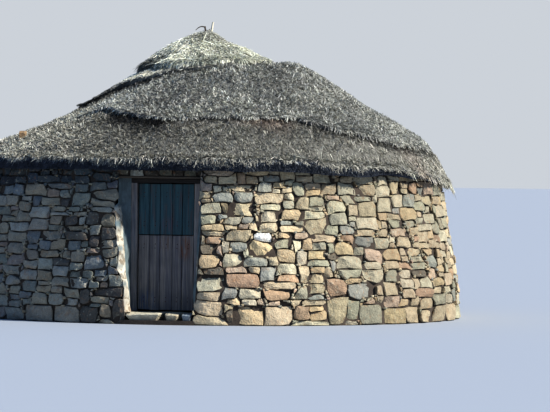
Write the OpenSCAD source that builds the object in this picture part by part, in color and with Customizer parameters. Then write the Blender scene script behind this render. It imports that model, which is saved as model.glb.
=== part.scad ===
// Round stone hut with a low conical thatch and a two-leaf plank door.
// Origin on the ground at the middle of the room, +Z up, the doorway faces -Y, millimetres.

/* [Wall] */
// Radius of the round room inside the wall
room_r = 2200; // [2150:10:2250]
// Thickness of the wall where it meets the ground
wall_foot_t = 640; // [600:10:700]
// Thickness of the wall under the thatch
wall_top_t = 400; // [380:10:420]
// Height of the upright foot below the battered face
wall_foot_h = 350; // [250:10:450]
// Thickness of the beaten earth floor
floor_h = 100; // [60:5:115]

/* [Doorway] */
// Clear width between the frame posts
opening_w = 610; // [580:5:640]
// Height of the threshold above the ground
threshold_z = 124; // [118:2:140]
// Thickness of the rubble bed under the threshold
sill_h = 45; // [30:5:60]
// Clear height from the threshold to the frame head
opening_h = 1354; // [1340:2:1360]
// Distance of the frame's outer face from the room side of the wall
frame_set = 200; // [180:5:220]
// Width of a frame post across the opening
post_w = 68; // [60:2:76]
// Depth of the frame posts and head through the wall
post_d = 90; // [80:2:100]
// Height of the frame head
head_h = 48; // [44:2:54]
// Distance of the stonework outside the opening's left side, under the lintel
stone_top_left = 225; // [205:5:255]
// The same on the right
stone_top_right = 135; // [115:5:175]
// Distance of the stonework outside the opening's left side, at the ground
stone_foot_left = 80; // [75:5:95]
// The same on the right
stone_foot_right = 90; // [80:5:105]
// Distance of the plastered corner outside the opening's left side, under the lintel
corner_top_left = 145; // [125:5:175]
// The same on the right
corner_top_right = 95; // [80:5:105]
// Distance of the plastered corner outside the opening's left side, at the threshold
corner_foot_left = 0; // [0:5:25]
// The same on the right
corner_foot_right = 45; // [25:5:65]

/* [Lintel] */
// Thickness of a lintel board
lintel_t = 24; // [20:2:28]
// Length that a lintel board bears on the stonework at each end
lintel_bearing = 90; // [60:5:100]
// Distance of the front lintel board behind the top of the wall's face
lintel_set = 60; // [55:5:80]
// Gap between two lintel boards
lintel_gap = 8; // [4:1:12]

/* [Steps] */
// Ends of the long pale step stone, left and right of the middle
step_stone_1 = [-346, 47];
// Ends of the middle step stone
step_stone_2 = [78, 227];
// Ends of the right step stone
step_stone_3 = [259, 365];
// Depth of the step stones through the wall
step_d = 340; // [300:5:360]

/* [Door leaves] */
// Gap between a leaf and the hinge post
hinge_gap = 7; // [6:1:10]
// Gap between a leaf and the latch post
latch_gap = 10; // [9:1:14]
// Gap above and below the pair of leaves
end_gap = 8; // [6:1:12]
// Gap between the two leaves
leaf_gap = 8; // [6:1:12]
// Height of the lower leaf
lower_leaf_h = 794; // [740:2:840]
// Thickness of the leaf boards
board_t = 22; // [18:1:26]
// Distance of the boards' outer face behind the frame's outer face
board_set = 55; // [50:1:58]
// Thickness of the cross ledges on the inner side
ledge_t = 22; // [18:1:26]
// Height of a cross ledge
ledge_h = 90; // [70:5:110]
// Distance of a ledge from the top or foot of its leaf
ledge_inset = 70; // [50:5:90]
// Distance of the ledge ends from the leaf edges
ledge_end = 30; // [25:1:40]
// Length of a hinge strap from the pin
strap_len = 340; // [260:10:420]
// Height of a hinge strap
strap_h = 38; // [30:2:44]
// Thickness of a hinge strap
strap_t = 6; // [5:0.5:8]
// Outer radius of the strap eye
eye_r = 13; // [12:0.5:15]
// Radius of the hinge pin
pin_r = 6; // [5:0.5:7]
// Clearance between the pin and its eye
pin_fit = 0.3; // [0.2:0.1:0.6]
// Distance of the hinge pin from the edge of the post
pin_inset = 12; // [10:1:18]
// Length of the hinge spike driven into the post
spike_len = 60; // [40:5:70]
// Length of the pin above the eye
pin_head = 3; // [2:1:6]

/* [Roof poles] */
// Distance that the thatch reaches past the top of the wall
eave_over = 150; // [130:10:180]
// Height of the thatch's underside at the eave
eave_z = 1600; // [1590:5:1640]
// Rise of the roof for one unit of run
roof_rise = 0.46; // [0.44:0.01:0.5]
// Diameter of a rafter pole
rafter_d = 80; // [70:2:90]
// Stonework left in front of a rafter's foot
rafter_cover = 110; // [100:5:140]
// Radius at which the short rafters end
short_top_r = 900; // [850:10:930]
// Radius of the block where the long rafters meet
boss_r = 130; // [120:5:150]
// Height of that block
boss_h = 190; // [160:5:220]
// Diameter of a lath hoop
hoop_d = 28; // [24:1:32]
// Radius of the smallest lath hoop
hoop_first_r = 550; // [500:10:600]
// Distance of the largest lath hoop inside the wall
hoop_clear = 90; // [80:5:120]

/* [Thatch] */
// Thickness of the thatch on its thin, weathered side
thin_t = 150; // [130:5:170]
// Thickness of the thatch where it bulges on its full side
full_t = 400; // [360:5:420]
// Height of the cut face at the eave
butt_h = 140; // [120:5:150]
// Amount that the eave hangs down on the full side
droop = 140; // [100:5:150]
// Height of the lower edge of the main coat
main_step = 45; // [30:5:60]
// Height of the lower edge of the crown coat
crown_step = 38; // [30:2:50]
// Amount that the eave draws in on the full side
draw_in = 35; // [25:5:45]
// Width of the eave coat that shows below the main coat behind the thin side
main_show = 1000; // [950:10:1050]
// Width of the crown coat that shows below the cap, at its middle size
crown_show = 400; // [380:10:420]
// Radius of the cap of loose straw
cap_r = 780; // [740:10:800]
// Thickness of the cap half way up
cap_t = 160; // [140:5:180]
// Slope length over which a coat thins under the one above it
lap_run = 600; // [500:20:700]
// Distance that each cut edge leans back
edge_lean = 18; // [10:2:24]
// Clearance of the drooping eave from the top of the wall
wall_clear = 20; // [15:1:25]

/* [Ridge sticks] */
// Direction in which the two sticks stand apart, in degrees from +X
stick_line = 6; // [4:1:8]
// Diameter of the pale stick
pale_stick_d = 28; // [22:1:32]
// Distance of the pale stick from the peak, along that line
pale_stick_at = 30; // [26:2:60]
// Lean of the pale stick along that line, in degrees
pale_stick_lean = 12; // [4:1:16]
// Length of the pale stick above the cap
pale_stick_out = 84; // [60:2:110]
// Diameter of the dark stick
dark_stick_d = 22; // [18:1:24]
// Distance of the dark stick from the peak, along that line
dark_stick_at = -42; // [-70:2:-36]
// Lean of the dark stick along that line, in degrees
dark_stick_lean = -4; // [-10:1:-1]
// Length of the dark stick above the cap
dark_stick_out = 34; // [20:2:60]
// Depth of both sticks in the cap
stick_depth = 90; // [60:5:100]

/* [Hidden] */
$fn = 96;

// Gap left between curved faces that rest on each other
seat = 0.3;
// Length by which a cutting shape passes the face that it cuts
over = 10;
// The same for the splayed sides of the doorway, which pass the bulge of the wall
splay_over = 60;

// The door bay is 45 degrees to each side of the door, and the rest of the wall is nine segments
pier_angle = 45;
segment_count = 9;
segment_angle = (360 - 2 * pier_angle) / segment_count;
door_angle = -90;

// The part of the joint between two lengths of wall that is left open, as an angle
joint_angle = atan(seat / room_r);

// Faces of the wall, and what is set from them
wall_base_r = room_r + wall_foot_t;
wall_top_r = room_r + wall_top_t;
frame_y = room_r + frame_set;
lintel_y = wall_top_r - lintel_set;

// Roof lines
eave_r = wall_top_r + eave_over;
slope = atan(roof_rise);
function under_z(r) = eave_z + (eave_r - r) * roof_rise;
function wall_top_z(r) = under_z(r) - seat;

// Doorway levels and sides
side_x = opening_w / 2;
post_out = side_x + post_w;
bay_top_left = side_x + stone_top_left;
bay_top_right = side_x + stone_top_right;
bay_foot_left = side_x + stone_foot_left;
bay_foot_right = side_x + stone_foot_right;
arris_top_left = side_x + corner_top_left;
arris_top_right = side_x + corner_top_right;
arris_foot_left = side_x + corner_foot_left;
arris_foot_right = side_x + corner_foot_right;
head_z = threshold_z + opening_h;
lintel_z = head_z + head_h;
over_z = lintel_z + lintel_t;
frame_back_y = frame_y - post_d;

// Door leaves: the boards stand in the frame, and the ledges and straps are behind them
leaf_x = -side_x + hinge_gap;
leaf_w = opening_w - hinge_gap - latch_gap;
board_y = -frame_y + board_set;
ledge_y = board_y + board_t;
strap_y = ledge_y + ledge_t;
pin_x = -side_x - pin_inset;
pin_y = strap_y + eye_r;
lower_leaf_z = threshold_z + end_gap;
upper_leaf_z = lower_leaf_z + lower_leaf_h + leaf_gap;
upper_leaf_h = head_z - end_gap - upper_leaf_z;
// Heights of a leaf's two ledges above its foot
function ledge_levels(h) = [ledge_inset, h - ledge_inset - ledge_h];

// Rafters: nine long ones and nine short ones, set by turns
rafter_pairs = 9;
rafter_r = rafter_d / 2;
rafter_drop = hoop_d + 2 * seat + rafter_r;
rafter_foot_r = wall_top_r - rafter_cover;
long_top_r = boss_r + seat + rafter_r * sin(slope);
function rafter_angle(i) = door_angle + i * 180 / rafter_pairs;
function rafter_axis_z(r) = under_z(r) - rafter_drop / cos(slope);
hoop_count = 5;
hoop_step = (room_r - hoop_clear - hoop_first_r) / (hoop_count - 1);

// The ridge sticks are cut branches, with flat sides
stick_sides = 8;

// Thatch grid: the rings follow the lower edges of the coats, and the last one is the eave
sectors = 48;
chord = 1 / cos(180 / sectors);
cap_ring = 3;
crown_ring = 5;
main_ring = 9;
clear_ring = 12;
eave_ring = 13;
// Places of the main coat's rings between the crown coat's edge and its own, close at the shoulder
main_places = [0, 0.1, 0.3, 0.62, 1];
// Direction of the full side, which has slumped, in degrees from +X
full_side = 10;

// Radius of the cap's edge as a share of cap_r, by direction
cap_edge = [[-200, 0.97], [-170, 1.01], [-120, 0.99], [-80, 1.02], [-40, 0.92], [10, 0.86],
    [60, 0.93], [110, 1], [160, 0.97]];
// Distance of the crown coat's lower edge outside the cap, as a share of crown_show, by direction
crown_share = [[-200, 1.8], [-170, 1.725], [-140, 0.825], [-104, 0.2], [-80, 0.15], [40, 0.15],
    [80, 0.5], [120, 1.125], [160, 1.8]];
// Distance of the main coat's lower edge inside the eave, as a share of main_show, by direction
main_share = [[-200, 0.9], [-170, 1], [-135, 1.03], [-125, 1.19], [-112, 1.03], [-94, 0.82],
    [-80, 0.8], [-52, 0.7], [-40, 0.42], [-25, 0.27], [0, 0.25], [60, 0.45], [110, 0.65], [160, 0.9]];
// Share of the droop and of the eave's drawing in, by direction
droop_share = [[-200, 0], [-60, 0], [-35, 0.3], [-10, 0.8], [10, 1], [40, 0.7], [80, 0], [160, 0]];
// Thickness over thin_t on the thin side, by share of the eave radius
thin_profile = [[0, 1.35], [0.29, 1.25], [0.4, 0.9], [0.47, 0.72], [0.57, 0.58], [0.67, 0.66],
    [0.84, 0.86], [1, 0.95]];
// Thickness over full_t on the full side, by share of the eave radius
full_profile = [[0, 0.525], [0.08, 0.3], [0.16, 0.39], [0.24, 0.45], [0.265, 0.62], [0.32, 0.9],
    [0.37, 1], [0.45, 0.98], [0.58, 0.83], [0.73, 0.67], [0.87, 0.52], [0.935, 0.32], [0.955, 0.15],
    [1, 0.12]];
// Thickness of the cap over cap_t, by share of its radius
cap_profile = [[0, 0.8], [0.3, 0.95], [0.6, 0.86], [0.8, 0.68], [1, 0.42]];

function turn(i) = -200 + i * 360 / sectors;
function cap_edge_r(a) = cap_r * lookup(a, cap_edge);
function crown_edge_r(a) = cap_edge_r(a) + crown_show * lookup(a, crown_share);
function main_edge_r(a) = eave_r - main_show * lookup(a, main_share);
function mix(from, to, share) = from + (to - from) * share;

// Radius of ring k in direction a
function ring_r(k, a) =
    k <= cap_ring ? cap_edge_r(a) * k / cap_ring :
    k <= crown_ring ? mix(cap_edge_r(a), crown_edge_r(a), (k - cap_ring) / (crown_ring - cap_ring)) :
    k <= main_ring ? mix(crown_edge_r(a), main_edge_r(a), main_places[k - crown_ring]) :
    k <= clear_ring ? mix(main_edge_r(a), wall_top_r + wall_clear,
        (k - main_ring) / (clear_ring - main_ring)) :
    eave_r - draw_in * lookup(a, droop_share);

// How full the thatch is in direction a: 1 on the full side, 0 on the thin side
function fullness(a) = (1 + cos(a - full_side)) / 2;
// Thickness of the whole thatch above its underside, without the steps of the coats
function body_t(r, a) = mix(thin_t * lookup(r / eave_r, thin_profile),
    full_t * lookup(r / eave_r, full_profile), fullness(a));
// Share of a coat's edge, 1 at the edge and 0 from lap_run inwards
function near_edge(r, edge) = max(0, 1 - (edge - r) / lap_run);
// Heights of the coats' tops above the underside, from the lowest coat (1) to the cap (4)
function coat_top(level, r, a) =
    level == 0 ? 0 :
    level == 1 ? (r < main_edge_r(a) ? body_t(r, a) * (0.5 + 0.5 * near_edge(r, main_edge_r(a)))
        : body_t(r, a)) :
    level == 2 ? (r < crown_edge_r(a) ? body_t(r, a) * (0.75 + 0.25 * near_edge(r, crown_edge_r(a)))
        : body_t(r, a)) + main_step * near_edge(r, main_edge_r(a)) :
    level == 3 ? body_t(r, a) + main_step * near_edge(r, main_edge_r(a))
        + crown_step * near_edge(r, crown_edge_r(a)) :
    coat_top(3, r, a) + cap_t * lookup(r / cap_edge_r(a), cap_profile);

// Point of ring k in direction a on the top of a coat
function thatch_point(level, k, a, edge) = let(
    r = ring_r(k, a),
    hang = k == eave_ring ? droop * lookup(a, droop_share) : 0,
    rise = k == eave_ring && level > 0 ? mix(butt_h, butt_h / 2, lookup(a, droop_share))
        : coat_top(level, r, a),
    out = (edge ? r - edge_lean : r) * chord)
    [out * cos(a), out * sin(a), under_z(r) - hang + rise];

// Points of a coat's top or underside: the peak, and then ring after ring out to the edge
function thatch_points(level, edge_ring, leans) = concat(
    [[0, 0, under_z(0) + coat_top(level, 0, full_side)]],
    [for (k = [1:edge_ring], i = [0:sectors - 1])
        thatch_point(level, k, turn(i), leans && k == edge_ring)]);

// Faces of such a surface, turned up or down, with the first point's number given
function ring_index(k, i) = 1 + (k - 1) * sectors + i % sectors;
function surface_faces(edge_ring) = concat(
    [for (i = [0:sectors - 1]) [0, ring_index(1, i + 1), ring_index(1, i)]],
    [for (k = [1:edge_ring - 1], i = [0:sectors - 1])
        [ring_index(k, i), ring_index(k, i + 1), ring_index(k + 1, i + 1)]],
    [for (k = [1:edge_ring - 1], i = [0:sectors - 1])
        [ring_index(k, i), ring_index(k + 1, i + 1), ring_index(k + 1, i)]]);

// One coat of thatch: it lies on the top of the coat below it and ends at its edge ring
module thatch_coat(level, edge_ring) {
    top = thatch_points(level, edge_ring, true);
    foot = thatch_points(level - 1, edge_ring, false);
    shift = len(top);
    faces = surface_faces(edge_ring);
    rim = [for (i = [0:sectors - 1]) let(
        a = ring_index(edge_ring, i),
        b = ring_index(edge_ring, i + 1))
        [[a, b, b + shift], [a, b + shift, a + shift]]];
    polyhedron(
        points = concat(top, foot),
        faces = concat(faces,
            [for (f = faces) [f[2] + shift, f[1] + shift, f[0] + shift]],
            [for (pair = rim, f = pair) f]));
}

// Section of the wall, from the room side to the weather side
module wall_section() {
    polygon([[room_r, 0], [wall_base_r, 0], [wall_base_r, wall_foot_h],
        [wall_top_r, wall_top_z(wall_top_r)], [room_r, wall_top_z(room_r)]]);
}

// Part of the round wall that starts at one angle and turns through another
module wall_ring(start, angle) {
    rotate([0, 0, start])
        rotate_extrude(angle = angle - joint_angle, $fn = 180)
            wall_section();
}

// Places its children along rafter i, with their +Z up the slope and +X out of the roof
module at_rafter(i, r) {
    rotate([0, 0, rafter_angle(i)])
        translate([r, 0, rafter_axis_z(r)])
            rotate([0, slope - 90, 0])
                children();
}

// Slot in the top of the wall for rafter i, open upwards
module rafter_slot(i) {
    slot_r = rafter_r + seat;
    at_rafter(i, rafter_foot_r + seat) {
        cylinder(r = slot_r, h = wall_base_r - room_r);
        translate([0, -slot_r, 0])
            cube([rafter_drop + over, 2 * slot_r, wall_base_r - room_r]);
    }
}

// Turn from one direction to another, counter-clockwise, in degrees
function turn_from(start, to) = (to - start) - 360 * floor((to - start) / 360);

// Slots of the rafters that rest between two angles
module rafter_slots(start, angle) {
    for (i = [0:2 * rafter_pairs - 1])
        if (turn_from(start, rafter_angle(i)) < angle)
            rafter_slot(i);
}

// Gap in the stonework for the doorway, seen from the front and carried through the wall
module door_bay() {
    translate([0, -room_r / 2, 0])
        rotate([90, 0, 0])
            linear_extrude(height = wall_base_r)
                polygon([[-bay_foot_left, -over], [bay_foot_right, -over],
                    [bay_top_right, lintel_z], [bay_top_right, under_z(0)],
                    [-bay_top_left, under_z(0)], [-bay_top_left, lintel_z]]);
}

// Block through the wall at the doorway, between two levels
module bay_block(low, high) {
    translate([-wall_top_r / 2, -wall_base_r - over, low])
        cube([wall_top_r, wall_base_r - room_r / 2, high - low]);
}

// Room for the lintel boards in the stonework
module lintel_space() {
    translate([-bay_top_left - lintel_bearing, -lintel_y, lintel_z])
        cube([bay_top_left + bay_top_right + 2 * lintel_bearing, lintel_y - room_r / 2, lintel_t]);
}

// Distance of the wall's weather side from the middle of the room, at a height
function face_r(z) = z < wall_foot_h ? wall_base_r :
    mix(wall_base_r, wall_top_r, (z - wall_foot_h) / (wall_top_z(wall_top_r) - wall_foot_h));

// Open space of the doorway: its sides run from the frame posts to the plastered corners
module doorway_space() {
    foot_y = -face_r(threshold_z) - splay_over;
    top_y = -face_r(lintel_z) - splay_over;
    hull()
        polyhedron(
            points = [[-arris_foot_left, foot_y, threshold_z], [arris_foot_right, foot_y, threshold_z],
                [arris_top_right, top_y, lintel_z], [-arris_top_left, top_y, lintel_z],
                [-post_out, -frame_y, threshold_z], [post_out, -frame_y, threshold_z],
                [post_out, -frame_y, lintel_z], [-post_out, -frame_y, lintel_z]],
            faces = [[0, 1, 2, 3], [5, 4, 7, 6], [4, 5, 1, 0], [7, 3, 2, 6], [4, 0, 3, 7],
                [5, 6, 2, 1]]);
    translate([-post_out, -frame_y, threshold_z])
        cube([2 * post_out, frame_y - room_r / 2, lintel_z - threshold_z]);
}

// One wall segment, numbered from the right of the door
module wall_segment(n) {
    start = door_angle + pier_angle + (n - 1) * segment_angle;
    color("#a08a6c")
        difference() {
            wall_ring(start, segment_angle);
            rafter_slots(start, segment_angle);
        }
}

// Pier beside the door, from the bay to the first segment
module door_pier(start) {
    color("#a58f70")
        difference() {
            wall_ring(start, pier_angle);
            rafter_slots(start, pier_angle);
            door_bay();
            lintel_space();
        }
}

// Stonework over the lintel boards, with a straight face
module wall_over_door() {
    color("#9a8468")
        difference() {
            intersection() {
                wall_ring(door_angle - pier_angle, 2 * pier_angle);
                door_bay();
                translate([-wall_top_r / 2, -lintel_y, over_z])
                    cube([wall_top_r, lintel_y, under_z(0)]);
            }
            rafter_slot(0);
        }
}

// Floor of beaten earth inside the wall
module earth_floor() {
    color("#7d6a54")
        cylinder(r = room_r - seat, h = floor_h, $fn = 180);
}

// Rubble bed across the foot of the doorway
module sill_bed() {
    color("#8f7d66")
        intersection() {
            wall_ring(door_angle - pier_angle, 2 * pier_angle);
            door_bay();
            bay_block(0, sill_h);
        }
}

// Flat stone under the door frame, up to the room
module threshold_slab() {
    color("#9c8d7a")
        intersection() {
            wall_ring(door_angle - pier_angle, 2 * pier_angle);
            door_bay();
            translate([-wall_top_r / 2, -wall_base_r + step_d + seat, sill_h])
                cube([wall_top_r, wall_base_r, threshold_z - sill_h]);
        }
}

// Three stones in a row before the threshold
module step_stones() {
    color("#b7a78c")
        intersection() {
            wall_ring(door_angle - pier_angle, 2 * pier_angle);
            for (ends = [step_stone_1, step_stone_2, step_stone_3])
                translate([ends[0], -wall_base_r - over, sill_h])
                    cube([ends[1] - ends[0], step_d + over, threshold_z - sill_h]);
        }
}

// Post of the door frame with its outer side at x
module frame_post(x) {
    translate([x, -frame_y, threshold_z])
        cube([post_w, post_d, opening_h]);
}

// Hinge post, bored for the hinge spikes
module frame_post_left() {
    color("#6b4c33")
        difference() {
            frame_post(-post_out);
            for (z = hinge_levels())
                spike(z, pin_fit / 2);
        }
}

module frame_post_right() {
    color("#6b4c33")
        frame_post(side_x);
}

module frame_head() {
    color("#4f3a28")
        translate([-post_out, -frame_y, head_z])
            cube([2 * post_out, post_d, head_h]);
}

// Three boards side by side, from the weather side to the room
module lintel_boards() {
    count = 3;
    depth = lintel_y - room_r;
    board = (depth - (count - 1) * lintel_gap) / count;
    color("#8b7350")
        intersection() {
            lintel_space();
            union() {
                for (i = [0:count - 1])
                    translate([-wall_top_r / 2, -lintel_y + i * (board + lintel_gap), lintel_z])
                        cube([wall_top_r, board, lintel_t]);
            }
        }
}

// Lime plaster between the stonework and the frame, on one side of the door
module reveal_plaster(side) {
    color("#d9d2c2")
        difference() {
            intersection() {
                wall_ring(door_angle - pier_angle, 2 * pier_angle);
                door_bay();
                bay_block(threshold_z, lintel_z);
                translate([side < 0 ? -wall_base_r : 0, -wall_base_r - over, 0])
                    cube([wall_base_r, wall_base_r, wall_base_r]);
            }
            doorway_space();
        }
}

// Boards of one leaf, as the panel that they make
module leaf_panel(z, h) {
    color("#5d6360")
        translate([leaf_x, board_y, z])
            cube([leaf_w, board_t, h]);
}

// Two cross ledges behind a leaf's boards
module leaf_ledges(z, h) {
    color("#5b4a3a")
        for (level = ledge_levels(h))
            translate([leaf_x + ledge_end, ledge_y, z + level])
                cube([leaf_w - 2 * ledge_end, ledge_t, ledge_h]);
}

// Foot of each hinge strap above the ground, for a leaf
function strap_levels(z, h) = [for (level = ledge_levels(h)) z + level + (ledge_h - strap_h) / 2];
function hinge_levels() = concat(strap_levels(lower_leaf_z, lower_leaf_h),
    strap_levels(upper_leaf_z, upper_leaf_h));

// Two hinge straps of a leaf, each with its eye round the pin
module leaf_straps(z, h) {
    color("#3a3532")
        for (foot = strap_levels(z, h))
            translate([pin_x, pin_y, foot])
                difference() {
                    union() {
                        cylinder(r = eye_r, h = strap_h);
                        translate([0, -eye_r, 0])
                            cube([strap_len, strap_t, strap_h]);
                    }
                    translate([0, 0, -over])
                        cylinder(r = pin_r + pin_fit, h = strap_h + 2 * over);
                }
}

// Spike of a hinge pin, driven level into the post under the strap at height z
module spike(z, fit) {
    translate([pin_x, pin_y, z - pin_r - seat])
        rotate([90, 0, 0])
            cylinder(r = pin_r + fit, h = pin_y + frame_back_y + spike_len + fit);
}

// Four hinge pins, each bent up from its spike through the eye of a strap
module hinge_pins() {
    color("#332e2b")
        for (z = hinge_levels())
            union() {
                spike(z, 0);
                translate([pin_x, pin_y, z - 2 * pin_r - seat])
                    cylinder(r = pin_r, h = 2 * pin_r + seat + strap_h + pin_head);
            }
}

// Poles from the wall up to a radius, one for every second rafter place
module rafters(first, top_r) {
    color("#7a5f43")
        for (pair = [0:rafter_pairs - 1])
            at_rafter(first + 2 * pair, rafter_foot_r)
                cylinder(r = rafter_r, h = (rafter_foot_r - top_r) / cos(slope));
}

// Block of wood between the upper ends of the long rafters
module apex_boss() {
    color("#5f4731")
        translate([0, 0, under_z(boss_r) - seat - boss_h])
            cylinder(r = boss_r, h = boss_h);
}

// Hoops of split lath on the rafters
module lath_hoops() {
    color("#8a6d48")
        for (n = [0:hoop_count - 1]) {
            r = hoop_first_r + n * hoop_step;
            translate([0, 0, under_z(r) - (hoop_d / 2 + seat) / cos(slope)])
                rotate_extrude($fn = 120)
                    translate([r, 0])
                        circle(d = hoop_d, $fn = 24);
        }
}

// Stick in the peak of the cap, with some room around it
module ridge_stick(along, lean, d, out, fit) {
    peak_z = under_z(0) + coat_top(4, 0, full_side);
    rotate([0, 0, stick_line])
        translate([along, 0, peak_z])
            rotate([0, lean, stick_line])
                translate([0, 0, -stick_depth - fit])
                    cylinder(d = d + 2 * fit, h = stick_depth + out + fit, $fn = stick_sides);
}
module pale_pole(fit) {
    ridge_stick(pale_stick_at, pale_stick_lean, pale_stick_d, pale_stick_out, fit);
}
module dark_pole(fit) {
    ridge_stick(dark_stick_at, dark_stick_lean, dark_stick_d, dark_stick_out, fit);
}

module thatch_cap() {
    color("#c9b183")
        difference() {
            thatch_coat(4, cap_ring);
            pale_pole(seat);
            dark_pole(seat);
        }
}

wall_segment(1);  // wall_segment_1
wall_segment(2);  // wall_segment_2
wall_segment(3);  // wall_segment_3
wall_segment(4);  // wall_segment_4
wall_segment(5);  // wall_segment_5
wall_segment(6);  // wall_segment_6
wall_segment(7);  // wall_segment_7
wall_segment(8);  // wall_segment_8
wall_segment(9);  // wall_segment_9
door_pier(door_angle - pier_angle);  // door_pier_left
door_pier(door_angle);  // door_pier_right
wall_over_door();
earth_floor();
sill_bed();
threshold_slab();
step_stones();
frame_post_left();
frame_post_right();
frame_head();
lintel_boards();
reveal_plaster(-1);  // reveal_plaster_left
reveal_plaster(1);  // reveal_plaster_right
leaf_panel(lower_leaf_z, lower_leaf_h);  // lower_leaf_panel
leaf_ledges(lower_leaf_z, lower_leaf_h);  // lower_leaf_ledges
leaf_straps(lower_leaf_z, lower_leaf_h);  // lower_leaf_straps
leaf_panel(upper_leaf_z, upper_leaf_h);  // upper_leaf_panel
leaf_ledges(upper_leaf_z, upper_leaf_h);  // upper_leaf_ledges
leaf_straps(upper_leaf_z, upper_leaf_h);  // upper_leaf_straps
hinge_pins();
rafters(0, long_top_r);  // main_rafters
rafters(1, short_top_r);  // short_rafters
apex_boss();
lath_hoops();
color("#7d7263") thatch_coat(1, eave_ring);  // thatch_eave_coat
color("#8a8479") thatch_coat(2, main_ring);  // thatch_main_coat
color("#958c7c") thatch_coat(3, crown_ring);  // thatch_crown_coat
thatch_cap();
color("#cdb58a") pale_pole(0);  // pale_stick
color("#3d342c") dark_pole(0);  // dark_stick
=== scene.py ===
import math

import bpy
import numpy as np
from mathutils import Matrix, Vector


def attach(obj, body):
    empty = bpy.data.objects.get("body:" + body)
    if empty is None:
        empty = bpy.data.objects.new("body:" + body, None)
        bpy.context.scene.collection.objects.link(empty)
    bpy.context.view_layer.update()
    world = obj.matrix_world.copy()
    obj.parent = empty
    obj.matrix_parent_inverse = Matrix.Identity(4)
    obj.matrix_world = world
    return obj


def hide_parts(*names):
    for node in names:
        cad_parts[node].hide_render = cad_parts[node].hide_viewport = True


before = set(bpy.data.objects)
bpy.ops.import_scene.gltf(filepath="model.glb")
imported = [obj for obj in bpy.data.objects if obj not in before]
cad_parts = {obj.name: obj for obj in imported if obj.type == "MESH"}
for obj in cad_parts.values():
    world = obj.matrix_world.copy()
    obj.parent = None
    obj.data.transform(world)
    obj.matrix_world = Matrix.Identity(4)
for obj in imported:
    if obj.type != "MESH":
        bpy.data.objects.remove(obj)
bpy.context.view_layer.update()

# Sizes of the hut, in metres, as in the part's source
ROOM_R = 2.2
WALL_FOOT_R = 2.84
WALL_TOP_R = 2.6
WALL_FOOT_H = 0.35
WALL_TOP_Z = 1.6687
EAVE_R = 2.75
EAVE_Z = 1.6
ROOF_RISE = 0.46
CLEAR = 0.0003

# The doorway: its direction, heights from the ground up, depths from front to back, and distances
# from its middle
DOOR = -math.pi / 2
SLAB_Z = 0.045
THRESHOLD_Z = 0.124
HEAD_Z = 1.478
LINTEL_Z = 1.526
OVER_Z = 1.55
STEP_FRONT_Y = -2.84
FRONT_Y = -2.54
STEP_BACK_Y = -2.5
FRAME_Y = -2.4
LEAF_Y = -2.345
LEDGE_Y = -2.323
LEDGE_BACK_Y = -2.301
POST_BACK_Y = -2.31
BACK_Y = -2.2
POST_IN = 0.305
POST_OUT = 0.373

# Depth of the joints between the stones
JOINT_DEPTH = 0.036


def linear(red, green, blue):
    """Screen colour 0-255 as the linear colour that the shaders take."""
    c = np.array([red, green, blue]) / 255
    return np.where(c <= 0.04045, c / 12.92, ((c + 0.055) / 1.055) ** 2.4)


def mix(a, b, share):
    """The value at a share of the way from a to b."""
    return a + (b - a) * share


def step(x):
    """Smooth step of x between 0 and 1."""
    x = np.clip(x, 0, 1)
    return x * x * (3 - 2 * x)


def ripple(x, y, seed, around=0):
    """Height between -1 and 1: random heights at the whole numbers of x and y, joined by smooth steps.
    With around, x starts again after that many steps."""
    x, y = np.broadcast_arrays(np.asarray(x, float), np.asarray(y, float))
    i, j = np.floor(x).astype(np.int64), np.floor(y).astype(np.int64)
    u, v = step(x - i), step(y - j)

    def height(i, j):
        if around:
            i = i % around
        n = (i * 374761393 + j * 668265263 + seed * 974634777) & 0xFFFFFFFF
        n = ((n ^ (n >> 13)) * 1274126177) & 0xFFFFFFFF
        return ((n ^ (n >> 16)) & 0xFFFF) / 32767.5 - 1

    return mix(mix(height(i, j), height(i + 1, j), u),
               mix(height(i, j + 1), height(i + 1, j + 1), u), v)


def polar(r, turn, z):
    """Points at a radius, a direction as an angle, and a height."""
    return np.stack(np.broadcast_arrays(r * np.cos(turn), r * np.sin(turn), z), -1)


# Meshes

def grid_faces(rows, columns, around=False):
    """Four-cornered faces of a grid of points, row after row; around joins the last column to the first."""
    i, j = np.meshgrid(np.arange(rows - 1), np.arange(columns if around else columns - 1), indexing="ij")
    k = (j + 1) % columns
    return np.stack([i * columns + j, i * columns + k, (i + 1) * columns + k, (i + 1) * columns + j],
                    -1).reshape(-1, 4)


def loft(rings, closed_path=False):
    """Skin over closed profiles, given as an array (profiles, points, 3), one after another along a path.
    Fans to a middle point close the first and the last, or the path runs into itself."""
    count, n = rings.shape[:2]
    points = rings.reshape(-1, 3)
    if closed_path:
        faces = grid_faces(count + 1, n, True) % (count * n)
        return points, [faces]
    faces = grid_faces(count, n, True)
    middle = np.stack([rings[0].mean(0), rings[-1].mean(0)])
    j = np.arange(n)
    k = (j + 1) % n
    last = (count - 1) * n
    fans = np.concatenate([
        np.stack([np.full(n, count * n), k, j], -1),
        np.stack([np.full(n, count * n + 1), last + j, last + k], -1)])
    return np.concatenate([points, middle]), [faces, fans]


def joined(parts):
    """Several (points, faces) as one."""
    points, faces, shift = [], [], 0
    for p, f in parts:
        points.append(p)
        faces += [part + shift for part in f]
        shift += len(p)
    return np.concatenate(points), faces


def copies(points, faces):
    """Many shapes with the same faces, from an array (shapes, points, 3)."""
    count, n = points.shape[:2]
    shift = (np.arange(count) * n)[:, None, None]
    return points.reshape(-1, 3), [(f[None] + shift).reshape(-1, f.shape[1]) for f in faces]


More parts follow.
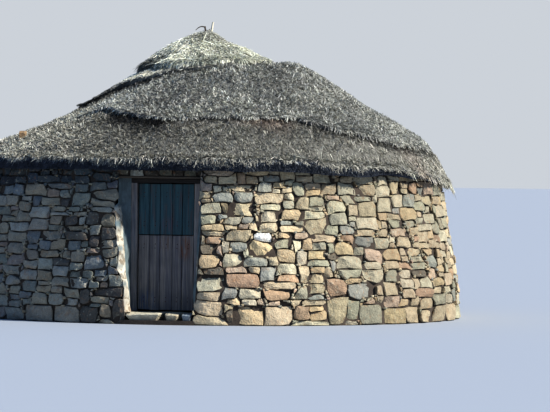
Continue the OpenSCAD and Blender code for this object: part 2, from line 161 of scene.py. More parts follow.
def volume(points, faces):
    """Volume inside the faces, below zero where they point inwards: for each triangle, a sixth of its
    first corner times the cross product of the other two."""
    total = 0.0
    for f in faces:
        for k in range(1, f.shape[1] - 1):
            a, b, c = points[f[:, 0]], points[f[:, k]], points[f[:, k + 1]]
            total += np.einsum("ij,ij->", a, np.cross(b, c)) / 6
    return total


def piece(name, shape, finish, body, stands_for=(), tint=None, smooth=40, closed=True, parts=None):
    """Makes the piece's mesh with its faces outwards, and puts it in the frame.
    tint is a colour for each point; parts is a finish number for each face; smooth is the angle in
    degrees up to which faces are shaded as one."""
    points, faces = shape
    if closed and volume(points, faces) < 0:
        faces = [f[:, ::-1] for f in faces]
    mesh = bpy.data.meshes.new(name)
    mesh.vertices.add(len(points))
    mesh.vertices.foreach_set("co", points.astype(np.float32).ravel())
    corners = np.concatenate([f.ravel() for f in faces]).astype(np.int32)
    sizes = np.concatenate([np.full(len(f), f.shape[1]) for f in faces])
    mesh.loops.add(len(corners))
    mesh.loops.foreach_set("vertex_index", corners)
    mesh.polygons.add(len(sizes))
    mesh.polygons.foreach_set("loop_start", np.concatenate([[0], np.cumsum(sizes)[:-1]]).astype(np.int32))
    mesh.update(calc_edges=True)
    mesh.validate()
    for one in (finish if isinstance(finish, (list, tuple)) else [finish]):
        mesh.materials.append(one)
    if parts is not None:
        mesh.polygons.foreach_set("material_index", np.asarray(parts, np.int32))
    if smooth:
        mesh.polygons.foreach_set("use_smooth", np.ones(len(sizes), bool))
        mesh.set_sharp_from_angle(angle=math.radians(smooth))
    if tint is not None:
        colours = np.ones((len(points), 4), np.float32)
        colours[:, :3] = tint
        mesh.attributes.new("tint", "FLOAT_COLOR", "POINT").data.foreach_set("color", colours.ravel())
    obj = bpy.data.objects.new(name, mesh)
    bpy.context.scene.collection.objects.link(obj)
    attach(obj, body)
    if stands_for:
        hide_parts(*stands_for)


# Finishes

class Finish:
    """A material that is put together from nodes on Object coordinates."""

    def __init__(self, name, roughness):
        self.material = bpy.data.materials.new(name)
        self.material.use_nodes = True
        self.nodes, self.links = self.material.node_tree.nodes, self.material.node_tree.links
        self.shader = self.nodes["Principled BSDF"]
        self.shader.inputs["Roughness"].default_value = roughness
        self.place = self.nodes.new("ShaderNodeTexCoord").outputs["Object"]

    def feed(self, socket, value):
        """Links another node's output to a socket, or sets a plain value on it."""
        if isinstance(value, bpy.types.NodeSocket):
            self.links.new(value, socket)
        else:
            socket.default_value = (*value, 1.0) if socket.type == "RGBA" else value

    def node(self, kind, inputs=(), **settings):
        """A node of a kind, whose inputs take other nodes' outputs or plain values."""
        made = self.nodes.new(kind)
        for key, value in settings.items():
            setattr(made, key, value)
        for key, value in dict(inputs).items():
            self.feed(made.inputs[key], value)
        return made

    def stretched(self, x, y, z, shift=(0, 0, 0)):
        """Object coordinates times x, y and z, then shifted."""
        return self.node("ShaderNodeMapping", {"Vector": self.place, "Scale": (x, y, z),
                                               "Location": shift}).outputs[0]

    def noise(self, vector, scale=1.0, detail=3.0, warp=0.0):
        return self.node("ShaderNodeTexNoise", {"Vector": vector, "Scale": scale, "Detail": detail,
                                                "Distortion": warp}).outputs["Fac"]

    def between(self, value, low, high, to_low=0.0, to_high=1.0):
        """value from low to high becomes to_low to to_high, and no more."""
        return self.node("ShaderNodeMapRange", {"Value": value, "From Min": low, "From Max": high,
                                                "To Min": to_low, "To Max": to_high}).outputs["Result"]

    def blend(self, share, a, b, way="MIX"):
        return self.node("ShaderNodeMix", {0: share, 6: a, 7: b}, data_type="RGBA", blend_type=way,
                         clamp_factor=True).outputs[2]

    def mottled(self, colour, pattern, low, high):
        """colour times a factor that goes from low to high as the pattern rises."""
        factor = self.between(pattern, 0.3, 0.7, low, high)
        grey = self.node("ShaderNodeCombineColor", {0: factor, 1: factor, 2: factor}).outputs[0]
        return self.blend(1.0, colour, grey, "MULTIPLY")

    def tint(self):
        return self.node("ShaderNodeAttribute", attribute_name="tint").outputs["Color"]

    def math(self, way, a, b):
        return self.node("ShaderNodeMath", {0: a, 1: b}, operation=way).outputs[0]

    def times(self, a, b):
        return self.math("MULTIPLY", a, b)

    def plus(self, a, b, share):
        """a, and a share of b."""
        return self.math("ADD", a, self.times(b, share))

    def near(self, point, size):
        """1 near a point, falling to 0 at the given distances along X, Y and Z."""
        there = self.node("ShaderNodeVectorMath", {0: self.place, 1: point}, operation="SUBTRACT").outputs[0]
        there = self.node("ShaderNodeVectorMath", {0: there, 1: size}, operation="DIVIDE").outputs[0]
        far = self.node("ShaderNodeVectorMath", {0: there}, operation="LENGTH").outputs["Value"]
        return self.between(far, 0.5, 1.0, 1.0, 0.0)

    def done(self, colour, relief, depth):
        """The material with its colour, and a fine relief of that depth in metres."""
        bump = self.node("ShaderNodeBump", {"Height": relief, "Distance": depth, "Strength": 1.0})
        self.feed(self.shader.inputs["Base Color"], colour)
        self.feed(self.shader.inputs["Normal"], bump.outputs[0])
        return self.material


def field_stone():
    """Each stone's own tint, which also carries painted light and shade, mottled, with rust-brown veins and
    pale crust.
    """
    f = Finish("field_stone", 0.92)
    broad = f.noise(f.place, 14, 5)
    grit = f.noise(f.place, 75, 4)
    veins = f.noise(f.stretched(1, 1, 1, (3, 7, 1)), 15, 3, 1.6)
    crust = f.noise(f.stretched(1, 1, 1, (11, 2, 5)), 30, 5)
    colour = f.mottled(f.tint(), broad, 0.78, 1.16)
    colour = f.mottled(colour, grit, 0.8, 1.15)
    colour = f.blend(f.between(veins, 0.56, 0.68, 0.0, 0.3), colour, linear(150, 106, 66))
    colour = f.blend(f.between(crust, 0.6, 0.7, 0.0, 0.5), colour, linear(176, 172, 150))
    return f.done(colour, f.plus(broad, grit, 0.4), 0.022)


def earth(name, base):
    """Dry earth: one colour, mottled broadly and finely."""
    f = Finish(name, 0.96)
    broad = f.noise(f.place, 5, 4)
    grit = f.noise(f.place, 60, 5)
    colour = f.mottled(base, broad, 0.7, 1.25)
    colour = f.mottled(colour, grit, 0.75, 1.2)
    return f.done(colour, f.plus(broad, grit, 0.4), 0.012)


def lime():
    """Lime plaster with trowel marks, worn through to earth in spots and stained at the foot."""
    f = Finish("lime_plaster", 0.88)
    trowel = f.noise(f.stretched(1, 1, 0.5), 11, 3)
    grit = f.noise(f.place, 90, 4)
    worn = f.noise(f.stretched(1, 1, 0.8, (4, 4, 9)), 22, 5, 0.6)
    foot = f.noise(f.stretched(1, 1, 0.4, (1, 8, 2)), 7, 3)
    height = f.node("ShaderNodeSeparateXYZ", {0: f.place}).outputs[2]
    colour = f.blend(f.between(trowel, 0.35, 0.65), linear(176, 169, 152), linear(210, 203, 184))
    colour = f.mottled(colour, grit, 0.92, 1.03)
    outside = f.node("ShaderNodeSeparateColor", {0: f.tint()}).outputs[0]
    stain = f.times(f.between(worn, 0.5, 0.57, 0.0, 0.85), outside)
    colour = f.blend(stain, colour, linear(124, 110, 90))
    low = f.between(f.plus(height, foot, 0.25), 0.2, 0.42, 0.5, 0.0)
    colour = f.blend(low, colour, linear(150, 124, 96))
    # The tint carries painted shade in the reveal, under the eave and on the right jamb, and painted shadows
    # of stones
    colour = f.blend(1.0, colour, f.tint(), "MULTIPLY")
    return f.done(colour, f.plus(f.times(trowel, 1.2), grit, 0.3), 0.009)


def timber(name, dark, light, along="z", patches=()):
    """Sawn or cleft wood: fine and broad grain along one direction, with patches of another colour."""
    f = Finish(name, 0.85)
    fine, broad = {"z": ((150, 150, 3.5), (22, 22, 0.9)), "x": ((3.5, 150, 150), (0.9, 22, 22))}[along]
    grain = f.noise(f.stretched(*fine), 1, 4, 0.3)
    streak = f.noise(f.stretched(*broad), 1, 5, 0.8)
    stain = f.noise(f.place, 4, 3)
    colour = f.blend(f.between(streak, 0.32, 0.68), dark, light)
    colour = f.mottled(colour, grain, 0.62, 1.3)
    colour = f.mottled(colour, stain, 0.8, 1.2)
    if patches:
        marks = f.between(f.noise(f.stretched(45, 45, 4, (2, 6, 1)), 1, 5, 1.0), 0.46, 0.58)
    for point, size, tone, share in patches:
        colour = f.blend(f.times(f.times(f.near(point, size), marks), share), colour, tone)
    return f.done(colour, f.plus(grain, streak, 0.8), 0.0025)


def painted_boards():
    """Old blue-green paint on planks, worn to grey wood along the grain."""
    f = Finish("worn_teal_paint", 0.7)
    grain = f.noise(f.stretched(150, 150, 3.5), 1, 4, 0.3)
    streak = f.noise(f.stretched(26, 26, 1.1), 1, 5, 0.9)
    worn = f.noise(f.stretched(34, 34, 2.6, (5, 1, 3)), 1, 5, 0.6)
    wood = f.mottled(linear(78, 76, 76), grain, 0.7, 1.3)
    paint = f.blend(f.between(streak, 0.35, 0.65), linear(32, 62, 69), linear(61, 97, 103))
    paint = f.mottled(paint, grain, 0.8, 1.2)
    colour = f.blend(f.between(worn, 0.54, 0.64, 0.0, 0.75), paint, wood)
    bare = f.times(f.near((0.03, LEAF_Y, 1.05), (0.1, 0.05, 0.1)), f.between(streak, 0.44, 0.56))
    colour = f.blend(f.times(bare, 0.6), colour, linear(96, 80, 90))
    return f.done(colour, f.plus(f.times(grain, 0.8), worn, -0.7), 0.002)


def grass(name, roughness=0.8, contrast=1.0):
    """Dry stems: each has its own tint, which also carries painted light and shade, with finer specks."""
    f = Finish(name, roughness)
    speck = f.noise(f.place, 160, 2)
    patch = f.noise(f.place, 22, 3)
    colour = f.mottled(f.tint(), speck, 1 - 0.28 * contrast, 1 + 0.28 * contrast)
    colour = f.mottled(colour, patch, 1 - 0.2 * contrast, 1 + 0.2 * contrast)
    return f.done(colour, speck, 0.004)


def rusty_iron():
    """Forged iron, dark and rust-brown in patches."""
    f = Finish("rusty_iron", 0.75)
    f.shader.inputs["Metallic"].default_value = 0.5
    broad = f.noise(f.place, 30, 4)
    grit = f.noise(f.place, 220, 4)
    colour = f.blend(f.between(broad, 0.4, 0.6), linear(58, 50, 46), linear(104, 62, 40))
    return f.done(f.mottled(colour, grit, 0.7, 1.2), grit, 0.0015)


STONE = field_stone()
MORTAR = earth("earth_mortar", linear(70, 61, 52))
DAUB = earth("mud_daub", linear(134, 108, 82))
FLOOR_EARTH = earth("beaten_earth", linear(122, 100, 76))
PLASTER = lime()
POST_WOOD = timber("frame_timber", linear(114, 114, 118), linear(160, 148, 136))
# Painted shade: the frame head is far darker than the posts of the same frame, as it lies in shade under the
# lintel, and the lintel boards' dark brown is partly their own and partly painted shade of the eave
SHADED_HEAD_WOOD = timber("head_timber", linear(32, 29, 28), linear(56, 49, 43), along="x")
LINTEL_WOOD = timber("lintel_timber", linear(60, 54, 47), linear(94, 84, 70), along="x")
LEDGE_WOOD = timber("ledge_timber", linear(70, 58, 44), linear(120, 100, 74), along="x")
POLE_WOOD = timber("pole_timber", linear(58, 42, 30), linear(112, 86, 60))
STICK_WOOD = timber("stick_wood", linear(206, 194, 168), linear(238, 230, 210))
DARK_STICK_WOOD = timber("dark_stick_wood", linear(46, 38, 32), linear(82, 68, 54))
LATH_WOOD = timber("split_lath", linear(98, 78, 52), linear(140, 116, 80))
LOWER_WOOD = timber("lower_leaf_timber", linear(91, 89, 94), linear(144, 134, 125), patches=(
    ((0.2, LEAF_Y, 0.8), (0.09, 0.05, 0.16), linear(128, 84, 60), 0.8),
    ((0.0, LEAF_Y, 0.84), (0.09, 0.05, 0.1), linear(112, 88, 72), 0.6),
    ((-0.2, LEAF_Y, 0.2), (0.13, 0.05, 0.2), linear(62, 82, 108), 0.7)))
UPPER_WOOD = painted_boards()
IRON = rusty_iron()
THATCH = grass("weathered_stems")
STRAW = grass("loose_straw", 0.7, 0.5)


# The wall

def lookup(x, rows):
    """Value at x on straight lines through the rows of x and value."""
    rows = np.array(rows)
    return np.interp(x, rows[:, 0], rows[:, 1])


def face_r(z):
    """Radius of the wall's face: upright at the foot, then battered."""
    lean = (WALL_FOOT_R - WALL_TOP_R) / (WALL_TOP_Z - WALL_FOOT_H)
    return WALL_FOOT_R - np.maximum(np.asarray(z) - WALL_FOOT_H, 0) * lean


def under_z(r):
    """Height of the underside of the roof."""
    return EAVE_Z + (EAVE_R - r) * ROOF_RISE


# Edges of the bay in the stonework that holds the doorway: distance from the middle at the ground and
# at the lintel, on the left (-1) and on the right (1)
BAY = {-1: (0.385, 0.53), 1: (0.395, 0.44)}


def bay_edge(z, side):
    low, high = BAY[side]
    return side * mix(low, high, np.clip(np.asarray(z) / LINTEL_Z, 0, 1))


# Where the stones end beside the door, left and right: height and distance from the middle
STONE_EDGE = {
    -1: [(0.1, 0.338), (0.35, 0.362), (0.45, 0.362), (0.56, 0.438), (0.77, 0.437), (0.89, 0.454),
         (1.04, 0.48), (1.18, 0.492), (1.24, 0.5), (1.28, 0.462), (1.5, 0.475)],
    1: [(0.1, 0.37), (0.22, 0.378), (0.36, 0.41), (0.72, 0.424), (0.92, 0.446), (1.07, 0.428),
        (1.3, 0.392), (1.52, 0.405)]}


def stone_edge(z, side):
    return side * lookup(z, STONE_EDGE[side])


def on_wall(shape, angle, z, proud):
    """Shapes with coordinates out, along and up are bent onto the wall's face at an angle and height."""
    up = z[:, None] + shape[..., 2]
    r = face_r(up) + proud[:, None] + shape[..., 0]
    return polar(r, angle[:, None] + shape[..., 1] / face_r(z)[:, None], up)


# An oblong's corners, anticlockwise from the upper right
OBLONG = np.array([[1, 1], [-1, 1], [-1, -1], [1, -1]])

# A stone's outline has twelve points: its four corners, and two on each side between corners
CORNER = np.arange(12) % 3 == 0


def outline_rays(corner):
    """Directions, as angles, from a stone's middle to its four corners, given as (stones, 4, 2) anticlockwise
    from the upper right, with two more directions spaced evenly between each corner and the next."""
    turn = np.arctan2(corner[..., 1], corner[..., 0])
    gap = (np.roll(turn, -1, 1) - turn) % (2 * np.pi)
    return (turn[:, :, None] + gap[:, :, None] * np.arange(3) / 3).reshape(len(corner), 12)


def straight_sides(turn, reach):
    """Distance along each ray to the straight line between the corners beside it."""
    first = (np.arange(12) // 3) * 3
    last = (first + 3) % 12
    a, b = turn[:, first], turn[:, last]
    p, q = reach[:, first], reach[:, last]
    wide = p * np.sin(turn - a) + q * np.sin(b - turn)
    return np.where(CORNER, reach, p * q * np.sin(b - a) / np.where(np.abs(wide) < 1e-9, 1e-9, wide))


def rubble(rng, reach, turn, thick, chisel=1.0):
    """Split stones with flat faces. Each is its outline, given as distances along rays, drawn in three
    times on the front, out to the arris, then once at the side and once, narrower, at the bedded back.
    The front is a leaning plane, cut by up to three steeper planes, as where flakes were struck off.
    Gives the points, and a painted shade for each, dark on the bedded sides, where shade falls in the joints."""
    n, rays = reach.shape
    size = np.sqrt(reach.min(1) * reach.max(1))[:, None]
    arris = np.minimum(0.07 * size, 0.007)
    flat = np.stack([0 * reach, 0.4 * reach, 0.74 * reach, reach - arris, reach, reach * 0.8], 1)
    place = flat[..., None] * np.stack([np.cos(turn), np.sin(turn)], -1)[:, None]
    lean = rng.uniform(0, 2 * np.pi, (n, 3))
    offset = rng.uniform(0.0, 0.8, (n, 3)) * size
    fall = rng.uniform(0.25, 1.1, (n, 3)) * chisel
    spot = (place[..., 0, None] * np.cos(lean)[:, None, None] +
            place[..., 1, None] * np.sin(lean)[:, None, None])
    out = -(np.maximum(spot - offset[:, None, None], 0) * fall[:, None, None]).max(-1)
    tilt = rng.normal(0, 0.11, (n, 2)) * chisel
    out = out + (place * tilt[:, None, None]).sum(-1)
    out = np.maximum(out, -0.034) + rng.normal(0, 0.0016, out.shape)
    out[:, 4] -= 1.4 * arris
    out[:, 5] = -thick[:, None]
    shape = np.concatenate([out[..., None], place], -1)
    shade = np.repeat([1.0, 1, 1, 0.97, 0.76, 0.24], [1] + [rays] * 5)
    return np.concatenate([shape[:, :1, 0], shape[:, 1:].reshape(n, -1, 3)], 1), shade


def rubble_faces(rays):
    """A fan over the front, strips down to the back, and the back as one face."""
    j = np.arange(rays)
    k = (j + 1) % rays
    front = np.stack([0 * j, 1 + j, 1 + k], -1)
    return [front, grid_faces(5, rays, True) + 1, (1 + 4 * rays + j[::-1])[None]]


def squared(rng, half):
    """Outlines with straight sides between four corners, each a little inside an oblong's corner."""
    corner = half[:, None] * OBLONG * rng.uniform(0.78, 1.0, (len(half), 4, 2))
    turn = outline_rays(corner)
    reach = np.repeat(np.hypot(corner[..., 0], corner[..., 1]), 3, axis=1)
    return straight_sides(turn, reach), turn


def split_stones(name, points, tint, stands_for=(), rays=12, smooth=20):
    """Split stones, with a colour for each point, as one piece."""
    piece(name, copies(points, rubble_faces(rays)), STONE, "hut", stands_for,
          tint=tint.reshape(-1, 3), smooth=smooth)


# Colours of the stones, and how common each is
STONE_TINTS = {
    "tan": (linear(180, 166, 137), 0.36), "cream": (linear(188, 179, 153), 0.2),
    "olive": (linear(158, 154, 132), 0.14), "blue": (linear(146, 146, 134), 0.07),
    "ochre": (linear(184, 165, 131), 0.12), "rust": (linear(171, 146, 119), 0.06),
    # brown stands for stones seen in shade, by the doorway's left and over the door: painted shade
    "pink": (linear(181, 161, 138), 0.05), "brown": (linear(114, 105, 90), 0.01),
    "white": (linear(226, 223, 212), 0.0)}

# Stones that show in the doorway's part of the wall: direction in degrees, height of the middle,
# width and height in centimetres
KNOWN_STONES = [
    (-74.9, 151.9, 23, 9, "tan"), (-69.3, 153, 15, 7, "ochre"), (-64.4, 153.5, 21, 7, "blue"),
    (-60.5, 149.1, 13, 7, "olive"), (-58, 143.5, 15, 16, "olive"), (-72.4, 143.3, 40, 8, "tan"),
    (-66.2, 144.6, 16, 11, "blue"), (-62.1, 147.1, 21, 7, "ochre"), (-63.4, 140.7, 9, 5, "cream"),
    (-61.1, 141.3, 11, 5, "tan"), (-79.7, 143.6, 14, 9, "pink"), (-80.4, 135.6, 14, 7, "tan"),
    (-75.9, 133.6, 23, 9, "blue"), (-71.2, 133.8, 20, 9, "blue"), (-65.5, 133.4, 32, 10, "tan"),
    (-60.4, 135.3, 15, 7, "cream"), (-60.6, 126.8, 12, 9, "olive"), (-65, 124.1, 26, 7, "cream"),
    (-71.4, 120.6, 32, 16, "tan"), (-78.9, 121.9, 27, 12, "olive"), (-65.9, 114.8, 30, 11, "cream"),
    (-60.3, 115.5, 21, 13, "ochre"), (-74.4, 108.4, 24, 7, "cream"), (-70.6, 109.2, 11, 6, "blue"),
    (-71.4, 102.4, 13, 6, "pink"), (-65.9, 103.3, 22, 11, "tan"), (-61.4, 107.4, 19, 4, "blue"),
    (-60.1, 101.4, 28, 7, "tan"), (-67, 92.5, 19, 10, "white"), (-72.5, 94.3, 29, 12, "tan"),
    (-62.1, 94, 24, 5, "ochre"), (-58, 93.8, 14, 6, "pink"), (-78.3, 89.1, 18, 8, "rust"),
    (-62.4, 86.2, 16, 8, "olive"), (-59.2, 85.2, 12, 11, "cream"), (-72.8, 82.6, 18, 10, "blue"),
    (-67.3, 79.8, 30, 13, "ochre"), (-79.2, 79.1, 18, 10, "brown"), (-76.7, 77.9, 5, 9, "pink"),
    (-79, 66.4, 21, 15, "ochre"), (-73.8, 67.4, 23, 14, "cream"), (-68.7, 66.8, 26, 12, "blue"),
    (-61.9, 73.5, 20, 14, "ochre"), (-64.9, 67.4, 8, 8, "tan"), (-58.2, 71.3, 11, 15, "cream"),
    (-61.5, 59.5, 25, 12, "cream"), (-57.9, 53.6, 10, 19, "tan"), (-78.1, 55.5, 20, 5, "brown"),
    (-73.1, 57.6, 28, 5, "pink"), (-78.5, 43.1, 29, 18, "olive"), (-71.8, 46.8, 35, 16, "rust"),
    (-66.3, 53.7, 18, 14, "blue"), (-63.4, 42.4, 41, 7, "tan"), (-61.6, 49.6, 26, 6, "rust"),
    (-74.5, 33.3, 16, 10, "blue"), (-70.4, 32.9, 23, 10, "cream"), (-64.4, 32.1, 30, 12, "rust"),
    (-59.3, 35.1, 20, 16, "olive"), (-70.4, 25.2, 17, 5, "cream"), (-67.5, 25.2, 10, 5, "pink"),
    (-64.9, 23.9, 14, 3, "pink"), (-78.3, 17, 32, 17, "tan"), (-70.2, 12.3, 36, 19, "ochre"),
    (-63.5, 12.1, 29, 20, "tan"), (-58.8, 12.8, 17, 16, "rust"), (-74.4, 10.2, 5, 13, "brown"),
    (-45.6, 153.6, 23, 8, "tan"), (-39.3, 153.6, 33, 9, "cream"), (-45.6, 143.2, 26, 12, "olive"),
    (-39.3, 142.3, 31, 13, "tan"), (-33.8, 142.9, 18, 12, "cream"), (-29.5, 145.7, 18, 14, "tan"),
    (-49.3, 134.5, 15, 5, "pink"), (-45.5, 132.6, 20, 8, "olive"), (-40.5, 133.4, 26, 4, "olive"),
    (-48.8, 125.7, 25, 12, "cream"), (-44.1, 121.1, 13, 14, "tan"), (-39.7, 122.4, 25, 16, "tan"),
    (-34, 126.7, 25, 18, "cream"), (-48.3, 112.3, 28, 14, "olive"), (-40.4, 107.6, 29, 11, "cream"),
    (-35.2, 113.5, 17, 6, "ochre"), (-44.5, 106.1, 9, 7, "blue"), (-34.9, 106.3, 12, 8, "tan"),
    (-46.1, 100, 24, 8, "blue"), (-40.4, 98, 30, 6, "tan"), (-35.5, 96.9, 14, 8, "tan"),
    (-50.4, 99.7, 15, 10, "olive"), (-46.4, 91, 17, 6, "rust"), (-41.6, 87.3, 29, 11, "blue"),
    (-36.4, 86.7, 19, 11, "cream"), (-47.6, 81.5, 26, 12, "ochre"), (-43.5, 78.3, 13, 6, "olive"),
    (-50.9, 71.9, 10, 6, "brown"), (-46.1, 65.7, 35, 14, "cream"), (-38.8, 73.4, 33, 13, "pink"),
    (-39.5, 62.8, 26, 8, "cream"), (-47.3, 54.3, 40, 8, "olive"), (-39.7, 51.7, 32, 13, "cream"),
    (-50.4, 41.3, 26, 17, "rust"), (-43.4, 36.4, 40, 17, "blue"), (-38.3, 36.6, 10, 13, "tan"),
    (-41.6, 25.3, 25, 4, "pink"), (-50.2, 16.7, 25, 26, "tan"), (-46.2, 14.9, 13, 21, "olive"),
    (-41.3, 13.4, 34, 19, "olive"), (-102, 145.8, 12, 6, "pink"),
    (-104, 134.6, 30, 12, "tan"), (-110, 129, 25, 14, "olive"), (-114.3, 135.6, 11, 9, "olive"),
    (-109.8, 141.1, 20, 8, "olive"), (-113.9, 150.1, 14, 9, "olive"), (-113.9, 124.5, 11, 6, "brown"),
    (-111.1, 118.9, 20, 5, "olive"), (-111.5, 106.8, 20, 10, "brown"), (-106.1, 109.4, 19, 15, "brown"),
    (-102.1, 108.6, 14, 17, "ochre"), (-110, 91, 30, 10, "brown"), (-102.1, 93, 16, 12, "brown"),
    (-105.2, 85.4, 14, 13, "brown"), (-105.8, 76.6, 22, 3, "rust"), (-101.3, 73.5, 20, 11, "tan"),
    (-104.5, 63.6, 30, 16, "blue"), (-99.6, 63.6, 9, 8, "cream"), (-99.7, 55.2, 13, 7, "blue"),
    (-106.1, 50.1, 15, 8, "olive"), (-102.8, 51.3, 15, 6, "blue"), (-104.2, 40.5, 14, 7, "cream"),
    (-99.1, 45.2, 17, 11, "olive"), (-101.8, 40.8, 8, 6, "rust"), (-101.1, 32.9, 37, 8, "brown"),
    (-106.2, 27.1, 13, 18, "brown"), (-102.7, 24.8, 19, 7, "tan"), (-100.1, 21.7, 5, 6, "pink"),
    (-104.9, 9.3, 21, 16, "brown"), (-101.4, 12.1, 11, 14, "ochre"), (-98.5, 13.3, 14, 21, "brown")]


# One column of the stonework is a centimetre wide on this radius
COLUMN_R = 2.72

# Top of the stones, in metres, and the level in centimetres of what nothing is laid on
STONES_TOP = 1.655
ENDLESS = 999

# Stones laid by chance: the range of widths and of heights in centimetres, at the foot of the wall, and
# for three sorts above it, each with the share of stones up to it
FOOT_STONES = ((26, 44), (14, 22))
SORTS = [(0.5, ((18, 34), (7, 12))), (0.78, ((26, 42), (10, 15))), (1.0, ((12, 22), (5, 8)))]

# In centimetres: tops this close make one hollow, a rest this narrow goes to the stone beside it, a
# hollow this wide still takes one stone, a narrower stone than this is level with its neighbours, and
# a gap this low isn't left
FLUSH = 2.4
SPARE = 9
WIDEST = 40
SLIVER = 7
LOWEST = 4


def columns_at(degrees):
    """Columns from the middle of the doorway to a direction."""
    return (degrees + 90) * math.pi / 180 * COLUMN_R * 100


def bay_column(z, side):
    """Column of the bay's edge at a height in centimetres."""
    half = math.degrees(math.asin(abs(float(bay_edge(z / 100, side))) / float(face_r(z / 100))))
    return columns_at(half - 90 if side > 0 else 270 - half)


def lay_stones(rng, known, top):
    """Lays the wall's stones from the ground up, round from the right of the doorway to its left.
    The lowest hollow in the work is filled next, with a stone as wide as it allows, whose top is
    brought level with a neighbour's where the two are close. The known stones keep their places.
    Gives the direction in degrees, height, width and height in centimetres, and the tint's name."""
    right, left = bay_column(0, 1), bay_column(0, -1)
    count = int(left - right)
    level = np.zeros(count)
    blocks = []
    for degrees, z, width, height, _ in known:
        middle = columns_at(degrees if degrees > -90 else degrees + 360) - right
        wide = width * COLUMN_R / float(face_r(z / 100))
        blocks.append((max(int(round(middle - wide / 2)), 0), min(int(round(middle + wide / 2)), count),
                       z - height / 2, z + height / 2))
    # The stonework steps back from the doorway as it rises
    for side, start in ((-1, left), (1, right)):
        n = 0
        for z in range(int(top) + 1):
            while abs(bay_column(z, side) - start) > n + 0.5:
                column = n if side > 0 else count - 1 - n
                blocks.append((column, column + 1, z, ENDLESS))
                n += 1
    blocks.sort(key=lambda block: block[2])
    names = list(STONE_TINTS)
    chances = np.array([share for _, share in STONE_TINTS.values()])
    chances /= chances.sum()
    laid = []
    while True:
        for first, last, low, high in blocks:
            part = level[first:last]
            part[(part > low - LOWEST) & (part < high)] = high
        k = int(np.argmin(level))
        base = level[k]
        if base >= top - 3:
            break
        a, b = k, k + 1
        while a > 0 and level[a - 1] <= base + FLUSH:
            a -= 1
        while b < count and level[b] <= base + FLUSH:
            b += 1
        room = b - a
        sort = rng.random()
        wide, high = FOOT_STONES if base < 3 else next(size for share, size in SORTS if sort < share)
        width, height = int(rng.uniform(*wide)), rng.uniform(*high)
        if room <= width + SPARE:
            width = room if room <= WIDEST else room // 2
        start = a if rng.random() < 0.5 else b - width
        span = slice(start, start + width)
        foot = float(level[span].max())
        ceiling = min([low for first, last, low, high in blocks
                       if first < start + width and last > start and high > foot], default=ENDLESS)
        beside = [float(level[i]) for i in (start - 1, start + width) if 0 <= i < count]
        if width < SLIVER:
            lower = min([h for h in beside if h < ENDLESS], default=foot + 6)
            height = float(np.clip(lower - foot, 3, 14))
        for h in beside:
            if h - foot >= 5 and abs(h - foot - height) < 3:
                height = h - foot
        height = min(height, 1.5 * width + 2)
        if foot + height > top - LOWEST:
            height = top - foot
        if foot + height > ceiling - LOWEST:
            height = ceiling - foot
        level[span] = foot + height
        if height >= 4 and width >= 5:
            degrees = (start + width / 2 + right) / (COLUMN_R * 100) * 180 / math.pi - 90
            real = width * float(face_r((foot + height / 2) / 100)) / COLUMN_R
            laid.append((degrees, foot + height / 2, real, height, names[rng.choice(len(names), p=chances)]))
    return list(known) + laid


# The map of the wall's face has cells of half a centimetre, which are free, shut, or held by a stone,
# whose number they then have
CELL = 0.005
FREE = -1
SHUT = -2


def grown(rng, owner, count, rounds):
    """Stones on the map grow into the free cells around them, some faster than others."""
    for _ in range(rounds):
        growing = rng.random(count) < 0.8
        for shift, axis in ((1, 0), (1, 1), (-1, 0), (-1, 1)):
            other = np.roll(owner, shift, axis)
            taken = (owner == FREE) & (other >= 0) & growing[other]
            owner[taken] = other[taken]


def outlines(owner, height, size):
    """Each stone's middle, the distances along twelve rays to where it ends on the map, the rays'
    directions, how many cells it holds, and the map with only the uncovered cells free."""
    rows, columns = owner.shape
    row, column = np.nonzero(owner >= 0)
    held = owner[row, column]
    count = np.bincount(held, minlength=len(size))
    spot = np.stack([(column + 0.5) * CELL, height[row]], -1)
    centre = np.stack([np.bincount(held, spot[:, i], len(size)) / np.maximum(count, 1) for i in (0, 1)], -1)
    way = spot - centre[held]
    away = way / size[held]
    # The corners are the cells that lie farthest out along the diagonals
    last = np.maximum(np.cumsum(count) - 1, 0)
    corner = np.stack([spot[np.lexsort((away @ diagonal, held))[last]] for diagonal in OBLONG], 1)
    turn = outline_rays(corner - centre[:, None])
    steps = np.arange(1, 80) * CELL

    def cells(axis, share):
        return (centre[:, None, None, axis] + share[..., None] * steps) / CELL

    x = cells(0, np.cos(turn)).astype(int) % columns
    y = np.clip((cells(1, np.sin(turn)) + 1).astype(int), 0, rows - 1)
    mine = owner[y, x] == np.arange(len(size))[:, None, None]
    reach = np.cumprod(mine, -1).sum(-1) * CELL
    reach = np.minimum(reach, 1.2 * straight_sides(turn, reach))
    # The cells that the outlines leave uncovered
    ray = (np.arctan2(way[:, 1], way[:, 0]) - turn[held, 0]) % (2 * np.pi)
    between = (turn - turn[:, :1]) % (2 * np.pi)
    k = (ray[:, None] >= between[held]).sum(1) - 1
    after = (k + 1) % 12
    p, q = reach[held, k], reach[held, after]
    u = ray - between[held, k]
    v = (turn[held, after] - turn[held, k]) % (2 * np.pi) - u
    end = p * q * np.sin(u + v) / np.maximum(p * np.sin(u) + q * np.sin(v), 1e-6)
    bare = owner.copy()
    bare[row, column] = np.where(np.hypot(way[:, 0], way[:, 1]) < end + 0.004, SHUT, FREE)
    return centre, reach, turn, count, bare


